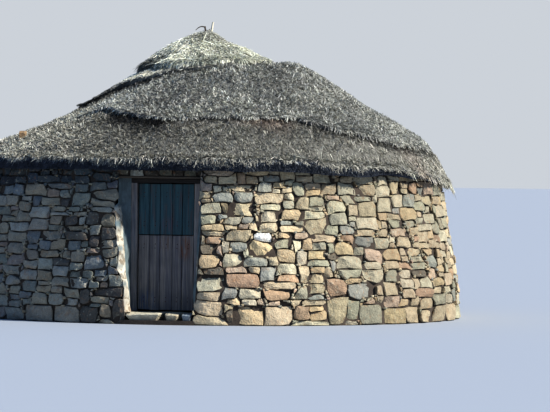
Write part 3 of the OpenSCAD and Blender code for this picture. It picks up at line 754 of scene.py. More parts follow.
def fitted(rng, angle, z, half, top):
    """Fits the stones to each other. Each starts as a smaller four-sided shape with slanting sides, on a
    map of the wall's face, and all of them grow until they meet. Then small stones are fitted the same
    way into what is still bare. Gives each stone's place, the distances from there along the rays to
    where it ends, the rays' directions, and whether it is large enough to keep."""
    columns, rows = int(2 * np.pi * COLUMN_R / CELL), int(top / CELL) + 2
    turn = (np.arange(columns) + 0.5) * CELL / COLUMN_R
    height = (np.arange(rows) - 0.5) * CELL
    across = face_r(height)[:, None] * np.sin(turn)
    left, right = (stone_edge(height, side)[:, None] for side in (-1, 1))
    owner = np.where((np.cos(turn) > 0) & (across > left) & (across < right), SHUT, FREE)
    owner[[0, -1]] = SHUT
    middle = np.stack([(angle - DOOR) % (2 * np.pi) * COLUMN_R, z], -1)
    size = half * np.stack([COLUMN_R / face_r(z), np.ones(len(z))], -1)
    corners = OBLONG * rng.uniform(0.55, 1.05, (len(z), 4, 2))
    for i in range(len(z)):
        corner = middle[i] + corners[i] * size[i]
        low = np.maximum(np.floor(corner.min(0) / CELL).astype(int), 0)
        high = np.ceil(corner.max(0) / CELL).astype(int) + 2
        x = (np.arange(low[0], high[0]) + 0.5) * CELL
        y = height[low[1]:high[1]][:, None]
        inside = True
        for k in range(4):
            p, q = corner[k], corner[(k + 1) % 4]
            inside = inside & ((q[0] - p[0]) * (y - p[1]) - (q[1] - p[1]) * (x - p[0]) >= 0)
        part = owner[low[1]:high[1], low[0]:high[0]]
        part[inside[:part.shape[0], :part.shape[1]] & (part == FREE)] = i
    grown(rng, owner, len(z), 16)
    *main, bare = outlines(owner, height, size)
    # Small stones start in oblongs of the map, 9 cells by 6, that are mostly bare
    wide, high = 9, 6
    free = (bare[:rows // high * high, :columns // wide * wide] == FREE).reshape(
        rows // high, high, columns // wide, wide)
    row, column = np.nonzero(free.mean((1, 3)) > 0.5)
    fill = bare.copy()
    fill[row * high + high // 2, column * wide + wide // 2] = np.arange(len(row))
    grown(rng, fill, len(row), 8)
    *small, _ = outlines(fill, height, np.ones((len(row), 2)) * [0.03, 0.02])
    centre, reach, turn, count = (np.concatenate(pair) for pair in zip(main, small))
    return centre, reach, turn, count > 16


def stone_tints(rng, shade, names):
    """A colour for each point: the stone's own, with painted shade on its bedded sides."""
    base = np.array([STONE_TINTS[n][0] for n in names])
    base = base * rng.uniform(0.84, 1.09, (len(names), 1)) * rng.uniform(0.98, 1.02, (len(names), 3))
    return base[:, None] * shade[:, None]


def painted_wall_light(side, z):
    """Painted light and shade on the wall's stones, by direction in degrees from 0 to 360, and height:
    dark, bluish painted shade high up beside the doorway's left, under the eave; greyer, bluer painted
    shade on the left, away from the sun; a painted highlight just right of the doorway, and painted
    shade beyond it. Gives a factor for the light, and one for each colour."""
    left = step((side - 190) / 12)
    eave_shade = step((z - 1.36) / 0.14) * (left * step((284 - side) / 8))
    light = 1 - 0.72 * eave_shade
    light = light * (1 - 0.24 * step((side - 292) / 34))
    light = light * (1 + 0.12 * step((side - 276) / 5) * step((308 - side) / 10))
    grey = left * step((267 - side) / 6)
    shade_hue = mix(np.ones(3), np.array([0.66, 0.72, 0.84]), grey[:, None])
    return light, shade_hue * mix(np.ones(3), np.array([0.72, 0.98, 1.35]), eave_shade[:, None])


def wall_stones():
    """The wall's stones, laid, fitted to each other and split, and bent onto its face, in three pieces."""
    rng = np.random.default_rng(11)
    laid = lay_stones(rng, KNOWN_STONES, STONES_TOP * 100)
    names = [s[4] for s in laid]
    angle = np.radians([s[0] for s in laid])
    z, wide, high = (np.array([s[i] for s in laid]) / 100 for i in (1, 2, 3))
    centre, reach, turn, good = fitted(rng, angle, z, np.stack([wide, high], -1) / 2, STONES_TOP)
    names += list(rng.choice(["tan", "cream", "olive", "ochre", "pink"], len(centre) - len(names)))
    chipped = np.where(CORNER & (rng.random(reach.shape) < 0.3), rng.uniform(0.78, 0.95, reach.shape), 1)
    joint = rng.uniform(0.001, 0.0035, (len(names), 1))
    reach = np.maximum(reach * chipped * rng.uniform(0.97, 1.0, reach.shape) - joint, 0.01)
    good = good & (reach.max(1) > 0.017)
    thick = np.clip(0.55 * reach.mean(1) + 0.03, 0.055, 0.085)
    shape, shade = rubble(rng, reach, turn, thick, 0.72)
    shape[..., 1] *= (face_r(centre[:, 1]) / COLUMN_R)[:, None]
    shape[..., 2] = np.maximum(shape[..., 2], 0.002 - centre[:, 1, None])
    angle = DOOR + centre[:, 0] / COLUMN_R
    side = np.degrees(angle) % 360
    # Painted light and shade on the stones, by direction and height
    light, shade_hue = painted_wall_light(side, centre[:, 1])
    tint = stone_tints(rng, shade, names) * light[:, None, None] * shade_hue[:, None]
    points = on_wall(shape, angle, centre[:, 1], rng.uniform(-0.009, 0.009, len(names)))
    for name, first, last in (("left", 180, 270), ("back", 60, 180), ("right", 270, 420)):
        pick = good & ((side >= first) & (side < last) | (side + 360 < last))
        split_stones("stones_" + name, points[pick], tint[pick])
    pinnings(rng, centre, reach, turn, good)


def pinnings(rng, centre, reach, turn, good):
    """Small wedges at corners of the stones: four sides, narrower towards the back."""
    keep = good & (centre[:, 1] > 0.06) & (centre[:, 1] < 1.58) & (rng.random(len(good)) < 0.6)
    i = np.nonzero(keep)[0]
    end = rng.integers(0, 4, len(i)) * 3
    ray = turn[i, end]
    spot = centre[i] + (reach[i, end] + 0.008)[:, None] * np.stack([np.cos(ray), np.sin(ray)], -1)
    angle = DOOR + spot[:, 0] / COLUMN_R
    # None in the doorway or at the ground
    clear = ((np.abs(np.cos(angle)) * 2.75 > 0.52) | (np.sin(angle) > 0)) & (spot[:, 1] > 0.03)
    spot, angle = spot[clear], angle[clear]
    n = len(spot)
    half = np.stack([rng.uniform(0.014, 0.034, n), rng.uniform(0.008, 0.018, n)], -1)
    corner = OBLONG * rng.uniform(0.7, 1.0, (n, 4, 2)) * half[:, None]
    front = np.concatenate([rng.uniform(-0.006, 0.006, (n, 4, 1)), corner], -1)
    back = front * np.array([0, 0.7, 0.7]) - np.array([0.05, 0, 0])
    points = on_wall(np.concatenate([front, back], 1), angle, spot[:, 1], rng.uniform(-0.02, -0.006, n))
    # Painted shade: the backs of the wedges, deep in the joints, are darker than their fronts
    tint = stone_tints(rng, np.repeat([0.85, 0.2], 4), rng.choice(["tan", "cream", "olive", "blue"], n))
    faces = [grid_faces(2, 4, True), np.array([[3, 2, 1, 0], [4, 5, 6, 7]])]
    piece("pinnings", copies(points, faces), STONE, "hut", tint=tint.reshape(-1, 3), smooth=0)


def wall_core():
    """The earth and hearting behind the stones, and the daub on the room side: the wall's section,
    carried round from the right of the doorway to its left, with each end in the plane of the bay."""
    levels, stations = 26, 300
    n = 2 * levels
    top = under_z(WALL_TOP_R - JOINT_DEPTH) - 0.002
    share = np.linspace(0, 1, levels)
    outer_z, inner_z = share * top, share[::-1] * (under_z(ROOM_R) - 0.002)
    outer_r = face_r(np.minimum(outer_z, WALL_TOP_Z)) - JOINT_DEPTH
    section_r = np.concatenate([outer_r, np.full(levels, ROOM_R)])
    section_z = np.concatenate([outer_z, inner_z])
    right = DOOR + np.arcsin(bay_edge(section_z, 1) / section_r)
    left = DOOR + 2 * np.pi + np.arcsin(bay_edge(section_z, -1) / section_r)
    along = np.linspace(0, 1, stations)[:, None]
    turn = mix(right, left, along)
    # The foot and the top stay plain, and so does the daub where the floor meets it
    outer = np.arange(n) < levels
    lumpy = outer & (section_z > 0.01) & (section_z < top - 0.03)
    smeared = ~outer & (section_z > 0.11)
    lumps = 0.012 * ripple(turn * 40, section_z * 18, 3) + 0.006 * ripple(turn * 110, section_z * 50, 4)
    smear = -np.abs(0.004 * ripple(turn * 9, section_z * 3.5, 5))
    ends = np.clip(np.minimum(along, 1 - along) * 60, 0, 1)
    r = section_r + ends * np.where(lumpy, lumps, np.where(smeared, smear, 0))
    points = polar(r, turn, section_z).reshape(-1, 3)
    faces = grid_faces(stations, n, True)
    # The ends are strips between the outer and the inner side
    i = np.arange(levels - 1)
    cap = np.stack([i, i + 1, n - 2 - i, n - 1 - i], -1)
    quads = np.concatenate([faces, cap[:, ::-1], cap + (stations - 1) * n])
    column = np.concatenate([faces[:, 0] % n, np.zeros(2 * (levels - 1), int)])
    piece("wall_core", (points, [quads]), [MORTAR, DAUB], "hut",
          ["wall_segment_%d" % k for k in range(1, 10)] + ["door_pier_left", "door_pier_right"],
          smooth=60, parts=((column >= levels) & (column < n - 1)).astype(int))


def over_door():
    """The strip of wall over the lintel boards: its section from front to back, carried across the
    doorway, and a row of split stones on its front."""
    xs = np.linspace(-BAY[-1][1], BAY[1][1], 34)[:, None]
    front, back = FRONT_Y + 0.03, BACK_Y - 0.001
    y = np.concatenate([np.full(5, front), np.linspace(front, back, 8)[1:], np.full(4, back),
                        np.linspace(back, front, 8)[1:-1]])
    roof = under_z(np.hypot(xs, y)) - 0.002
    share = np.concatenate([np.linspace(0, 1, 5), np.ones(7), np.linspace(0.75, 0, 4), np.zeros(6)])
    height = mix(OVER_Z, roof, share)
    bumps = 0.008 * ripple(xs * 30, share * 6, 8) * (np.arange(len(y)) < 5)
    rings = np.stack([xs + 0 * height, y + bumps, height], -1)
    piece("over_door_core", loft(rings), MORTAR, "hut", ["wall_over_door"], smooth=60)
    rng = np.random.default_rng(5)
    row = [(-0.45, 15, 7, "olive"), (-0.29, 15, 7.5, "blue"), (-0.13, 15, 6, "brown"), (0.02, 14, 7, "olive"),
           (0.155, 12, 6, "brown"), (0.285, 13, 7, "olive"), (0.395, 8, 7, "brown")]
    x, wide, high = (np.array([s[i] for s in row]) for i in (0, 1, 2))
    reach, turn = squared(rng, np.stack([wide / 200 + 0.004, high / 200 + 0.003], -1))
    shape, shade = rubble(rng, reach, turn, np.full(len(row), 0.06))
    # Painted shade: all but the second stone are darkened as in the shade of the thatch, and the second has a
    # painted highlight
    lit = np.where(np.arange(len(row)) == 1, 1.2, 0.4)
    tint = stone_tints(rng, shade, [s[3] for s in row]) * lit[:, None, None]
    points = np.stack([x[:, None] + shape[..., 1], FRONT_Y - shape[..., 0],
                       OVER_Z + 0.003 + high[:, None] / 200 + shape[..., 2]], -1)
    split_stones("over_door_stones", points, tint)


def slabs(rng, name, spots, tints, node):
    """Worn slabs: split stones lying flat, each between a low and a high corner. The outline in plan is
    the curve on which the seventh powers of x and y, as shares of the half sides, add up to 1, made a
    little uneven."""
    low, high = (np.array([s[i] for s in spots]) for i in (0, 1))
    half = (high - low)[:, :2] / 2
    middle = (high + low) / 2
    circle = np.linspace(0, 2 * np.pi, 40, endpoint=False)
    turn = np.arctan2(np.sin(circle) * half[:, 1:], np.cos(circle) * half[:, :1])
    power = 7.0
    reach = ((np.abs(np.cos(turn)) / half[:, :1]) ** power +
             (np.abs(np.sin(turn)) / half[:, 1:]) ** power) ** (-1 / power)
    spot = np.arange(len(spots))[:, None] * 5.3
    reach = reach * (0.97 + 0.03 * ripple(circle / (2 * np.pi) * 11, spot, 33, 11)) - 0.002
    shape, _ = rubble(rng, reach, turn, high[:, 2] - low[:, 2], 0.12)
    points = np.stack([middle[:, None, 0] + shape[..., 1], middle[:, None, 1] + shape[..., 2],
                       high[:, None, 2] + shape[..., 0]], -1)
    points[..., 2] -= 0.003 * (1 + ripple(points[..., 0] * 14, points[..., 1] * 14, 31))
    points[..., 2] = np.clip(points[..., 2], low[:, None, 2], high[:, None, 2])
    tint = np.array([linear(*c) for c in tints])[:, None] * np.ones((1, shape.shape[1], 1))
    split_stones(name, points, tint, [node], 40, 32)


# The soft corner of the plaster on the left: height and distance from the middle
ARRIS_LEFT = [(0.12, 0.294), (0.35, 0.316), (0.45, 0.34), (0.56, 0.369), (0.77, 0.39), (0.89, 0.408),
              (1.04, 0.419), (1.18, 0.443), (1.24, 0.45), (1.55, 0.455)]

# Painted shadows of the stones beside the jamb, across the lime: height, spread and amount
PAINTED_STONE_SHADOWS = ((1.05, 0.045, 1.1), (0.79, 0.035, 0.9), (0.6, 0.03, 0.5), (0.42, 0.035, 0.8))


def jamb_plaster(side, node):
    """Hand-laid lime plaster beside the door: a plan outline runs slantwise from the stones to the soft
    corner, in to the frame post and back to the room, and is carried up the jamb, with waves of the hand.
    The lime is pale on the slanting part, with painted shade in the reveal, under the eave and on the right,
    and painted shadows of the stones."""
    z = np.linspace(THRESHOLD_Z, LINTEL_Z - 0.001, 96)
    edge = np.abs(stone_edge(z, side))
    if side < 0:
        arris = lookup(z, ARRIS_LEFT) + 0.004 * ripple(z * 16, 0, 40)
        lap = np.maximum(edge + 0.011 * ripple(z * 19, 0, 48), arris + 0.02)
        back = 0.004 + 0.05 * step((z - 1.21) / 0.06)
    else:
        up = (z - THRESHOLD_Z) / (LINTEL_Z - THRESHOLD_Z)
        arris = mix(0.35, 0.4, up) + 0.008 * ripple(z * 5, 0, 42)
        lap = np.maximum(edge + 0.01, arris + 0.016)
        back = 0.075 + 0.02 * ripple(z * 6, 0, 50)
    lap_y = back - np.sqrt(face_r(z) ** 2 - lap ** 2)
    face_y = lap_y + 0.085
    deep = np.maximum(lap, POST_OUT + 0.012)
    slant = [(mix(lap, arris, k), mix(lap_y, face_y, m)) for k, m in ((0.12, 0.1), (0.55, 0.45))]
    reveal = [(mix(arris, POST_OUT, k), mix(face_y, FRAME_Y, k)) for k in (0.12, 0.4, 0.7, 0.9)]
    spots = [(lap + 0.02, lap_y + 0.09), (lap + 0.006, lap_y + 0.02), *slant, (arris, face_y), *reveal,
             (POST_OUT - 0.004, FRAME_Y - 0.004), (POST_OUT + 0.001, FRAME_Y + 0.02),
             (POST_OUT + 0.001, -2.3), (POST_OUT + 0.006, BACK_Y), (deep, BACK_Y), (deep, -2.45)]
    x, y = (np.stack([s[i] + 0 * z for s in spots], 1) for i in (0, 1))
    # More points along the outline, by a spline through the spots
    count = len(spots)
    t = np.linspace(0, count, count * 3, endpoint=False)
    i, u = t.astype(int), t % 1

    def curve(p):
        a, b, c, d = (p[:, (i + k) % count] for k in (-1, 0, 1, 2))
        return b + 0.5 * u * (c - a + u * (2 * a - 5 * b + 4 * c - d + u * (3 * (b - c) + d - a)))

    x, y = curve(x), curve(y)
    soft = (y < FRAME_Y - 0.01) * np.clip((x - 0.1) * 5, 0, 1)
    zz = z[:, None] + 0 * x
    x = x + soft * 0.004 * ripple(y * 22, zz * 14, 53)
    y = y + soft * 0.004 * ripple(x * 25, zz * 12, 54)
    if side < 0:
        # Painted shade in the reveal and above the lap under the eave, with painted shadows of the stones and
        # broken patches of painted shade
        painted_shade = np.maximum(step((t - 4.0) / 0.7) * (t < count - 1), step((zz - 1.2) / 0.05))
        runs = sum(share * np.exp(-((zz - at) / high) ** 2) for at, high, share in PAINTED_STONE_SHADOWS)
        painted_shade = painted_shade + runs * (t < 3.4) + 0.4 * np.clip(ripple(zz * 26, t * 0.9, 57), 0, 1)
        painted_shade = np.clip(painted_shade, 0, 1)
    else:
        # Painted shade on the right jamb, all but a pale patch at mid height
        painted_shade = 0 * t + 1 - 0.8 * step(1 - np.abs(zz - 0.62) / 0.14) * (t < 5)
    tone = mix(np.ones(3), np.array([0.25, 0.36, 0.47]), painted_shade[..., None]).reshape(-1, 3)
    tone = np.concatenate([tone, tone[:1], tone[-1:]])
    piece(node + "_hand_laid", loft(np.stack([side * x, y, zz], -1)), PLASTER, "hut", [node],
          tint=tone, smooth=60)


# Timber

def beam(low, high, along, stations=14, wear=0.002, corner=0.006, seed=1, foot=0.0):
    """A timber with softened corners: a rounded oblong, carried along an axis and a little uneven.
    foot makes the lower end ragged by that much."""
    low, high = np.array(low, float), np.array(high, float)
    across = [a for a in range(3) if a != along]
    half = (high - low)[across] / 2
    middle = (high + low)[across] / 2
    turn = np.linspace(0, 2 * np.pi, 20, endpoint=False) + np.pi / 20
    u = np.sign(np.cos(turn)) * np.abs(np.cos(turn)) ** 0.16
    v = np.sign(np.sin(turn)) * np.abs(np.sin(turn)) ** 0.16
    t = np.linspace(0, 1, stations)
    t = np.concatenate([[0], t * 0.996 + 0.002, [1]])
    ends = np.where((np.arange(len(t)) == 0) | (np.arange(len(t)) == len(t) - 1), 1 - corner / half.min(), 1)
    s = mix(low[along], high[along], t)
    rings = np.zeros((len(t), len(turn), 3))
    sway = wear * ripple(t[:, None] * 3, seed * 7.3, seed)
    rough = wear * ripple(t[:, None] * 9, turn * 2 + seed, seed + 5)
    rings[..., across[0]] = middle[0] + (half[0] - wear + rough) * u * ends[:, None] + sway
    rings[..., across[1]] = middle[1] + (half[1] - wear + rough) * v * ends[:, None]
    rings[..., along] = s[:, None]
    if foot:
        worn = foot * (0.6 + 0.5 * ripple(rings[..., across[0]] * 30, seed * 3.1, seed + 9))
        rings[..., along] += np.maximum(worn, 0) * np.clip(1 - t[:, None] * 6, 0, 1)
    return loft(rings)


def nail(x, z, radius=0.0052):
    """Head of a nail on a leaf: a low round cap, ring by ring, on a short shank."""
    turn = np.linspace(0, 2 * np.pi, 8, endpoint=False)
    size = radius * np.array([1.0, 1.0, 0.75, 0.35])[:, None]
    rise = np.array([-0.6, 0.12, 0.4, 0.5])[:, None] * radius
    rings = np.broadcast_arrays(x + size * np.cos(turn), LEAF_Y - rise, z + size * np.sin(turn))
    return loft(np.stack(rings, -1))


def pole(points, radii, sides=12, seed=1, knots=0.04):
    """A round pole: circles carried along a path, uneven as a branch is."""
    points = np.asarray(points, float)
    way = np.gradient(points, axis=0)
    way /= np.linalg.norm(way, axis=1, keepdims=True)
    aside = np.cross(way, [0.3, 0.1, 0.95] if abs(way[0, 2]) < 0.9 else [1.0, 0, 0])
    aside /= np.linalg.norm(aside, axis=1, keepdims=True)
    over = np.cross(way, aside)
    turn = np.linspace(0, 2 * np.pi, sides, endpoint=False)
    t = np.arange(len(points))[:, None]
    uneven = 1 + knots * ripple(turn / (2 * np.pi) * 5 + 0 * t, t * 0.9, seed, 5)
    r = np.asarray(radii, float).reshape(-1, 1) * uneven
    circle = np.cos(turn)[:, None] * aside[:, None] + np.sin(turn)[:, None] * over[:, None]
    return loft(points[:, None] + r[..., None] * circle)


def doorway():
    """The doorway from the ground up: slabs, plaster, posts, head and lintel boards."""
    rng = np.random.default_rng(23)
    # The third step stone's darker blue-grey is painted shade
    slabs(rng, "step_stones_worn", [((-0.346, STEP_FRONT_Y, SLAB_Z), (0.047, STEP_BACK_Y, THRESHOLD_Z)),
                                    ((0.078, STEP_FRONT_Y, SLAB_Z), (0.227, STEP_BACK_Y, 0.122)),
                                    ((0.259, -2.835, SLAB_Z), (0.365, STEP_BACK_Y, 0.118))],
          [(190, 184, 162), (184, 176, 152), (140, 150, 156)], "step_stones")
    slabs(rng, "threshold_slab_worn", [((-0.372, STEP_BACK_Y, SLAB_Z), (0.39, BACK_Y, THRESHOLD_Z))],
          [(150, 142, 124)], "threshold_slab")
    jamb_plaster(-1, "reveal_plaster_left")
    jamb_plaster(1, "reveal_plaster_right")
    for name, low_x, high_x, seed in (("left", -POST_OUT, -POST_IN, 3), ("right", POST_IN, POST_OUT, 4)):
        post = beam((low_x, FRAME_Y, THRESHOLD_Z), (high_x, POST_BACK_Y, HEAD_Z), 2, 26, seed=seed)
        piece("frame_post_%s_hewn" % name, post, POST_WOOD, "hut", ["frame_post_" + name])
    head = beam((-POST_OUT, FRAME_Y, HEAD_Z), (POST_OUT, POST_BACK_Y, LINTEL_Z), 0, 20, seed=5)
    piece("frame_head_hewn", head, SHADED_HEAD_WOOD, "hut", ["frame_head"])
    depths = [(FRONT_Y, -2.432), (-2.424, -2.316), (-2.308, BACK_Y)]
    boards = [beam((-0.62 + 0.012 * k, y0, LINTEL_Z), (0.53 - 0.01 * k, y1, OVER_Z), 0, 24, 0.0015,
                   seed=6 + k) for k, (y0, y1) in enumerate(depths)]
    piece("lintel_boards_weathered", joined(boards), LINTEL_WOOD, "hut", ["lintel_boards"])


def leaf(level, low, high, wood, seed, foot):
    """One leaf of the door: five upright boards, two ledges behind them, and clenched nails."""
    edges = [(-0.298, -0.181), (-0.179, -0.068), (-0.066, 0.064), (0.066, 0.169), (0.171, 0.295)]
    boards = [beam((x0, LEAF_Y, low), (x1, LEDGE_Y, high - (0.002 if k % 2 else 0)), 2, 22, 0.0013, 0.003,
                   seed=seed + k, foot=foot * (1.0, 0.5, 0.8, 0.4, 0.9)[k])
              for k, (x0, x1) in enumerate(edges)]
    piece(level + "_leaf_boards", joined(boards), wood, level + "_leaf", [level + "_leaf_panel"],
          smooth=35)
    heights = [low + 0.07, high - 0.16]
    ledges = [beam((-0.268, LEDGE_Y, z), (0.265, LEDGE_BACK_Y, z + 0.09), 0, 16, 0.0015, seed=seed + 7 + k)
              for k, z in enumerate(heights)]
    piece(level + "_leaf_ledges_sawn", joined(ledges), LEDGE_WOOD, level + "_leaf",
          [level + "_leaf_ledges"])
    nails = [nail(x + dx, z + dz) for z in heights for dx, dz in ((0, 0.024), (0.004, 0.066))
             for x in (-0.24, -0.12, -0.002, 0.117, 0.235)]
    piece(level + "_leaf_nails", joined(nails), IRON, level + "_leaf")


# The roof's poles, in metres: the rafters, the block at the peak, and the hoops of lath on the rafters
RAFTER_R = 0.04
RAFTER_FOOT_R = 2.488
SHORT_TOP_R = 0.9
BOSS_R = 0.13
BOSS_H = 0.19
HOOP_R = 0.014
HOOP_DEEP = 0.0286
HOOPS = (0.55, 0.94, 1.33, 1.72, 2.11)


def roof_poles():
    """Rafters, the block at the peak and the hoops: round poles along straight and circular paths, each a
    little bent."""
    slope = math.atan(ROOF_RISE)
    long_top_r = BOSS_R + CLEAR + RAFTER_R * math.sin(slope)
    for name, first, top_r in (("main_rafters", 0, long_top_r), ("short_rafters", 1, SHORT_TOP_R)):
        poles = []
        for k in range(first, 18, 2):
            turn = DOOR + k * math.pi / 9
            r = np.linspace(RAFTER_FOOT_R, top_r + 0.004, 15)
            t = np.linspace(0, 1, 15)
            bend = 0.012 * np.sin(t * np.pi) * ripple(t * 2.5, k * 3.3, 61)
            path = np.stack([r * math.cos(turn) - bend * math.sin(turn),
                             r * math.sin(turn) + bend * math.cos(turn),
                             under_z(r) - (HOOP_DEEP + RAFTER_R) / math.cos(slope) - 0.002], 1)
            poles.append(pole(path, 0.0392 - 0.004 * t, 12, 70 + k, 0.03))
        piece(name + "_round", joined(poles), POLE_WOOD, "hut", [name], smooth=60)
    z = under_z(BOSS_R) - CLEAR - BOSS_H + BOSS_H * np.linspace(0, 1, 8)
    radii = [0.12, 0.128, 0.129, 0.129, 0.129, 0.129, 0.128, 0.122]
    block = pole(np.stack([0 * z, 0 * z, z], 1), radii, 28, 90, 0.02)
    piece("apex_block", block, POLE_WOOD, "hut", ["apex_boss"], smooth=50)
    hoops = []
    turn = np.linspace(0, 2 * np.pi, 144, endpoint=False)[:, None]
    around = np.linspace(0, 2 * np.pi, 8, endpoint=False)
    for n, r in enumerate(HOOPS):
        z = under_z(r) - (HOOP_R + CLEAR) / math.cos(slope) - 0.0015
        path_r = r + 0.003 * ripple(turn / (2 * np.pi) * 18, n * 5.5, 95, 18)
        thick = 0.0125 * (1 + 0.07 * ripple(turn / (2 * np.pi) * 40, around * 2, 97 + n, 40))
        hoops.append(loft(polar(path_r + thick * np.cos(around), turn, z + thick * np.sin(around)), True))
    piece("lath_hoops_split", joined(hoops), LATH_WOOD, "hut", ["lath_hoops"], smooth=60)


# The thatch. Directions are in degrees from -200 to 160, as in the part's source. The sizes are those
# of the thin and the full side, of the cap, and of the steps at the edges of the coats.

START = -200
FULL_SIDE = 10.0
THIN = 0.15
FULL = 0.4
CAP_R = 0.78
CAP_HEIGHT = 0.16
MAIN_STEP = 0.045
CROWN_STEP = 0.038

# The eave's cut face is this high on the thin side and where it hangs, by as much as DROOP
CUT_FACE = (0.14, 0.07)
DROOP = 0.14

# By direction: the share of light lost under a coat's edge, the cap's edge as a share of its radius, how
# far the crown coat shows beyond the cap, how far the main coat stays back from the eave, and how much
# of the droop the eave has
CREVICE = [(-200, 0.94), (-114, 0.94), (-98, 0.25), (-60, 0.05), (-30, 0.05), (60, 0.3), (160, 0.94)]
CAP_EDGE = [(-200, 0.93), (-170, 0.95), (-120, 0.98), (-80, 1.02), (-40, 0.92), (10, 0.86), (60, 0.93),
            (110, 1), (160, 0.97)]
CROWN_SHOW = [(-200, 0.75), (-170, 0.74), (-140, 0.33), (-104, 0.08), (-80, 0.06), (40, 0.06), (80, 0.2),
              (120, 0.45), (160, 0.72)]
MAIN_BACK = [(-200, 0.9), (-170, 1), (-135, 1.03), (-125, 1.19), (-112, 1.03), (-94, 0.82), (-80, 0.8),
             (-52, 0.7), (-40, 0.42), (-25, 0.27), (0, 0.25), (60, 0.45), (110, 0.65), (160, 0.9)]
DROOP_SHARE = [(-200, 0), (-60, 0), (-35, 0.3), (-10, 0.8), (10, 1), (40, 0.7), (80, 0), (160, 0)]

# By share of the way from the peak to the edge: thickness of the thin side, of the full side and of the cap
THIN_PROFILE = [(0, 1.35), (0.29, 1.25), (0.4, 0.9), (0.47, 0.72), (0.57, 0.58), (0.67, 0.66), (0.84, 0.86),
                (1, 0.95)]
FULL_PROFILE = [(0, 0.525), (0.08, 0.3), (0.16, 0.39), (0.24, 0.45), (0.265, 0.62), (0.32, 0.9), (0.37, 1),
                (0.45, 0.98), (0.58, 0.83), (0.73, 0.67), (0.87, 0.52), (0.935, 0.32), (0.955, 0.15),
                (1, 0.12)]
CAP_PROFILE = [(0, 0.8), (0.3, 0.95), (0.6, 0.86), (0.8, 0.68), (1, 0.42)]


def wrapped(a):
    """The same direction between START and 360 degrees on."""
    return (a - START) % 360 + START


def round_share(a):
    """Share of the way round, from START."""
    return (a - START) / 360


def within(a, low, high, soft):
    """1 between two directions, with soft ends."""
    a = wrapped(a)
    return step((a - low) / soft) * step((high - a) / soft)


# Radius of the lower edge of each coat, by direction

def cap_edge(a):
    return CAP_R * lookup(wrapped(a), CAP_EDGE)


def crown_edge(a):
    return cap_edge(a) + lookup(wrapped(a), CROWN_SHOW)


def main_edge(a):
    return EAVE_R - lookup(wrapped(a), MAIN_BACK)


def eave_edge(a):
    return EAVE_R - 0.035 * lookup(wrapped(a), DROOP_SHARE)


EDGES = {1: eave_edge, 2: main_edge, 3: crown_edge, 4: cap_edge}


def body_t(r, a):
    """Thickness of the whole thatch: thin on one side and full on the other."""
    full = (1 + np.cos(np.radians(a - FULL_SIDE))) / 2
    return mix(THIN * lookup(r / EAVE_R, THIN_PROFILE), FULL * lookup(r / EAVE_R, FULL_PROFILE), full)


def near_edge(r, edge):
    """1 at a coat's edge, falling to 0 at 0.6 m inside it."""
    return np.maximum(0, 1 - np.maximum(edge - r, 0) / 0.6)


def coat_rise(level, r, a):
    """Height of a coat's top over the underside, from the eave coat (1) to the cap (4)."""
    if level == 0:
        return 0 * r * a
    t = body_t(r, a)
    near_main, near_crown = near_edge(r, main_edge(a)), near_edge(r, crown_edge(a))
    if level == 1:
        return t * np.where(r < main_edge(a), 0.5 + 0.5 * near_main, 1)
    if level == 2:
        return t * np.where(r < crown_edge(a), 0.75 + 0.25 * near_crown, 1) + MAIN_STEP * near_main
    crown = t + MAIN_STEP * near_main + CROWN_STEP * near_crown
    return crown if level == 3 else crown + CAP_HEIGHT * lookup(r / cap_edge(a), CAP_PROFILE)


def coat_z(level, r, a):
    """Height of a coat's top. Outside the wall the eave coat runs straight to its cut face, which hangs
    on the full side; beyond its edge every coat's surface goes on in a line."""
    r, a = np.broadcast_arrays(np.asarray(r, float), np.asarray(a, float))
    a = wrapped(a)
    clear = WALL_TOP_R + 0.02
    edge = EDGES[max(level, 1)](a)
    inner = np.minimum(r, np.minimum(edge, clear))
    z = under_z(inner) + coat_rise(level, inner, a)
    if level == 2:
        thin = within(a, -222, -124, 12) * step((inner - edge + 0.4) / 0.4)
        z = mix(z, under_z(inner) + coat_rise(1, inner, a) + 0.008, thin)
    if level > 1:
        return z - ROOF_RISE * np.maximum(r - edge, 0)
    share = lookup(a, DROOP_SHARE)
    eave = under_z(edge) - DROOP * share + (mix(*CUT_FACE, share) if level else 0)
    return z + (eave - z) * np.clip((r - clear) / (edge - clear), 0, 2.2)


def relief(level, r, a):
    """Hollows and ridges of the thatch: long soft swellings, furrows down the slope and small tufts."""
    turn = round_share(a)
    fade = np.clip(r / 0.5, 0.15, 1)
    sunk = 0.03 * within(a, -205, -125, 20) * step((r - 1) / 0.4)
    sunk = sunk + 0.025 * within(a, -32, 45, 15) * step((r - 2) / 0.4)
    lip = 0.028 * ripple(turn * 220, 0.5, 128, 220) * step((r - 2.56) / 0.16)
    return fade * (0.016 * ripple(turn * 16, r * 2.2, 100 + level, 16) +
                   0.010 * ripple(turn * 60, r * 3.5, 110 + level, 60) +
                   0.007 * ripple(turn * 210, r * 8, 120 + level, 210)) + lip - sunk


def surface(level, r, a, lift=0.0):
    """Point on a coat's top, with its relief, at a radius and direction."""
    return polar(r, np.radians(a), coat_z(level, r, a) + relief(level, r, a) + lift)


def edge_wave(level, a):
    """The uneven lower edge of a coat: amount that it reaches out or stays back."""
    turn = round_share(a)
    size = {1: 0.03, 2: 0.035, 3: 0.03, 4: 0.05}[level]
    return size * (ripple(turn * 26, 0.5, 130 + level, 26) + 0.7 * ripple(turn * 90, 0.5, 140 + level, 90))


def painted_left_light(a):
    """Painted light: the grass on the left, away from the sun, is made paler."""
    return (1 + 0.55 * within(a, -235, -95, 55))[..., None]


def patches(a, r, broad, fine, seed, share=0.4):
    """Patches of colour, broad ones and a share of fine ones, each kind given as how many lie round the
    roof and in a metre down it."""
    turn = round_share(a)
    return (ripple(turn * broad[0], r * broad[1], seed, broad[0]) * 0.6 +
            ripple(turn * fine[0], r * fine[1], seed + 1, fine[0]) * share)


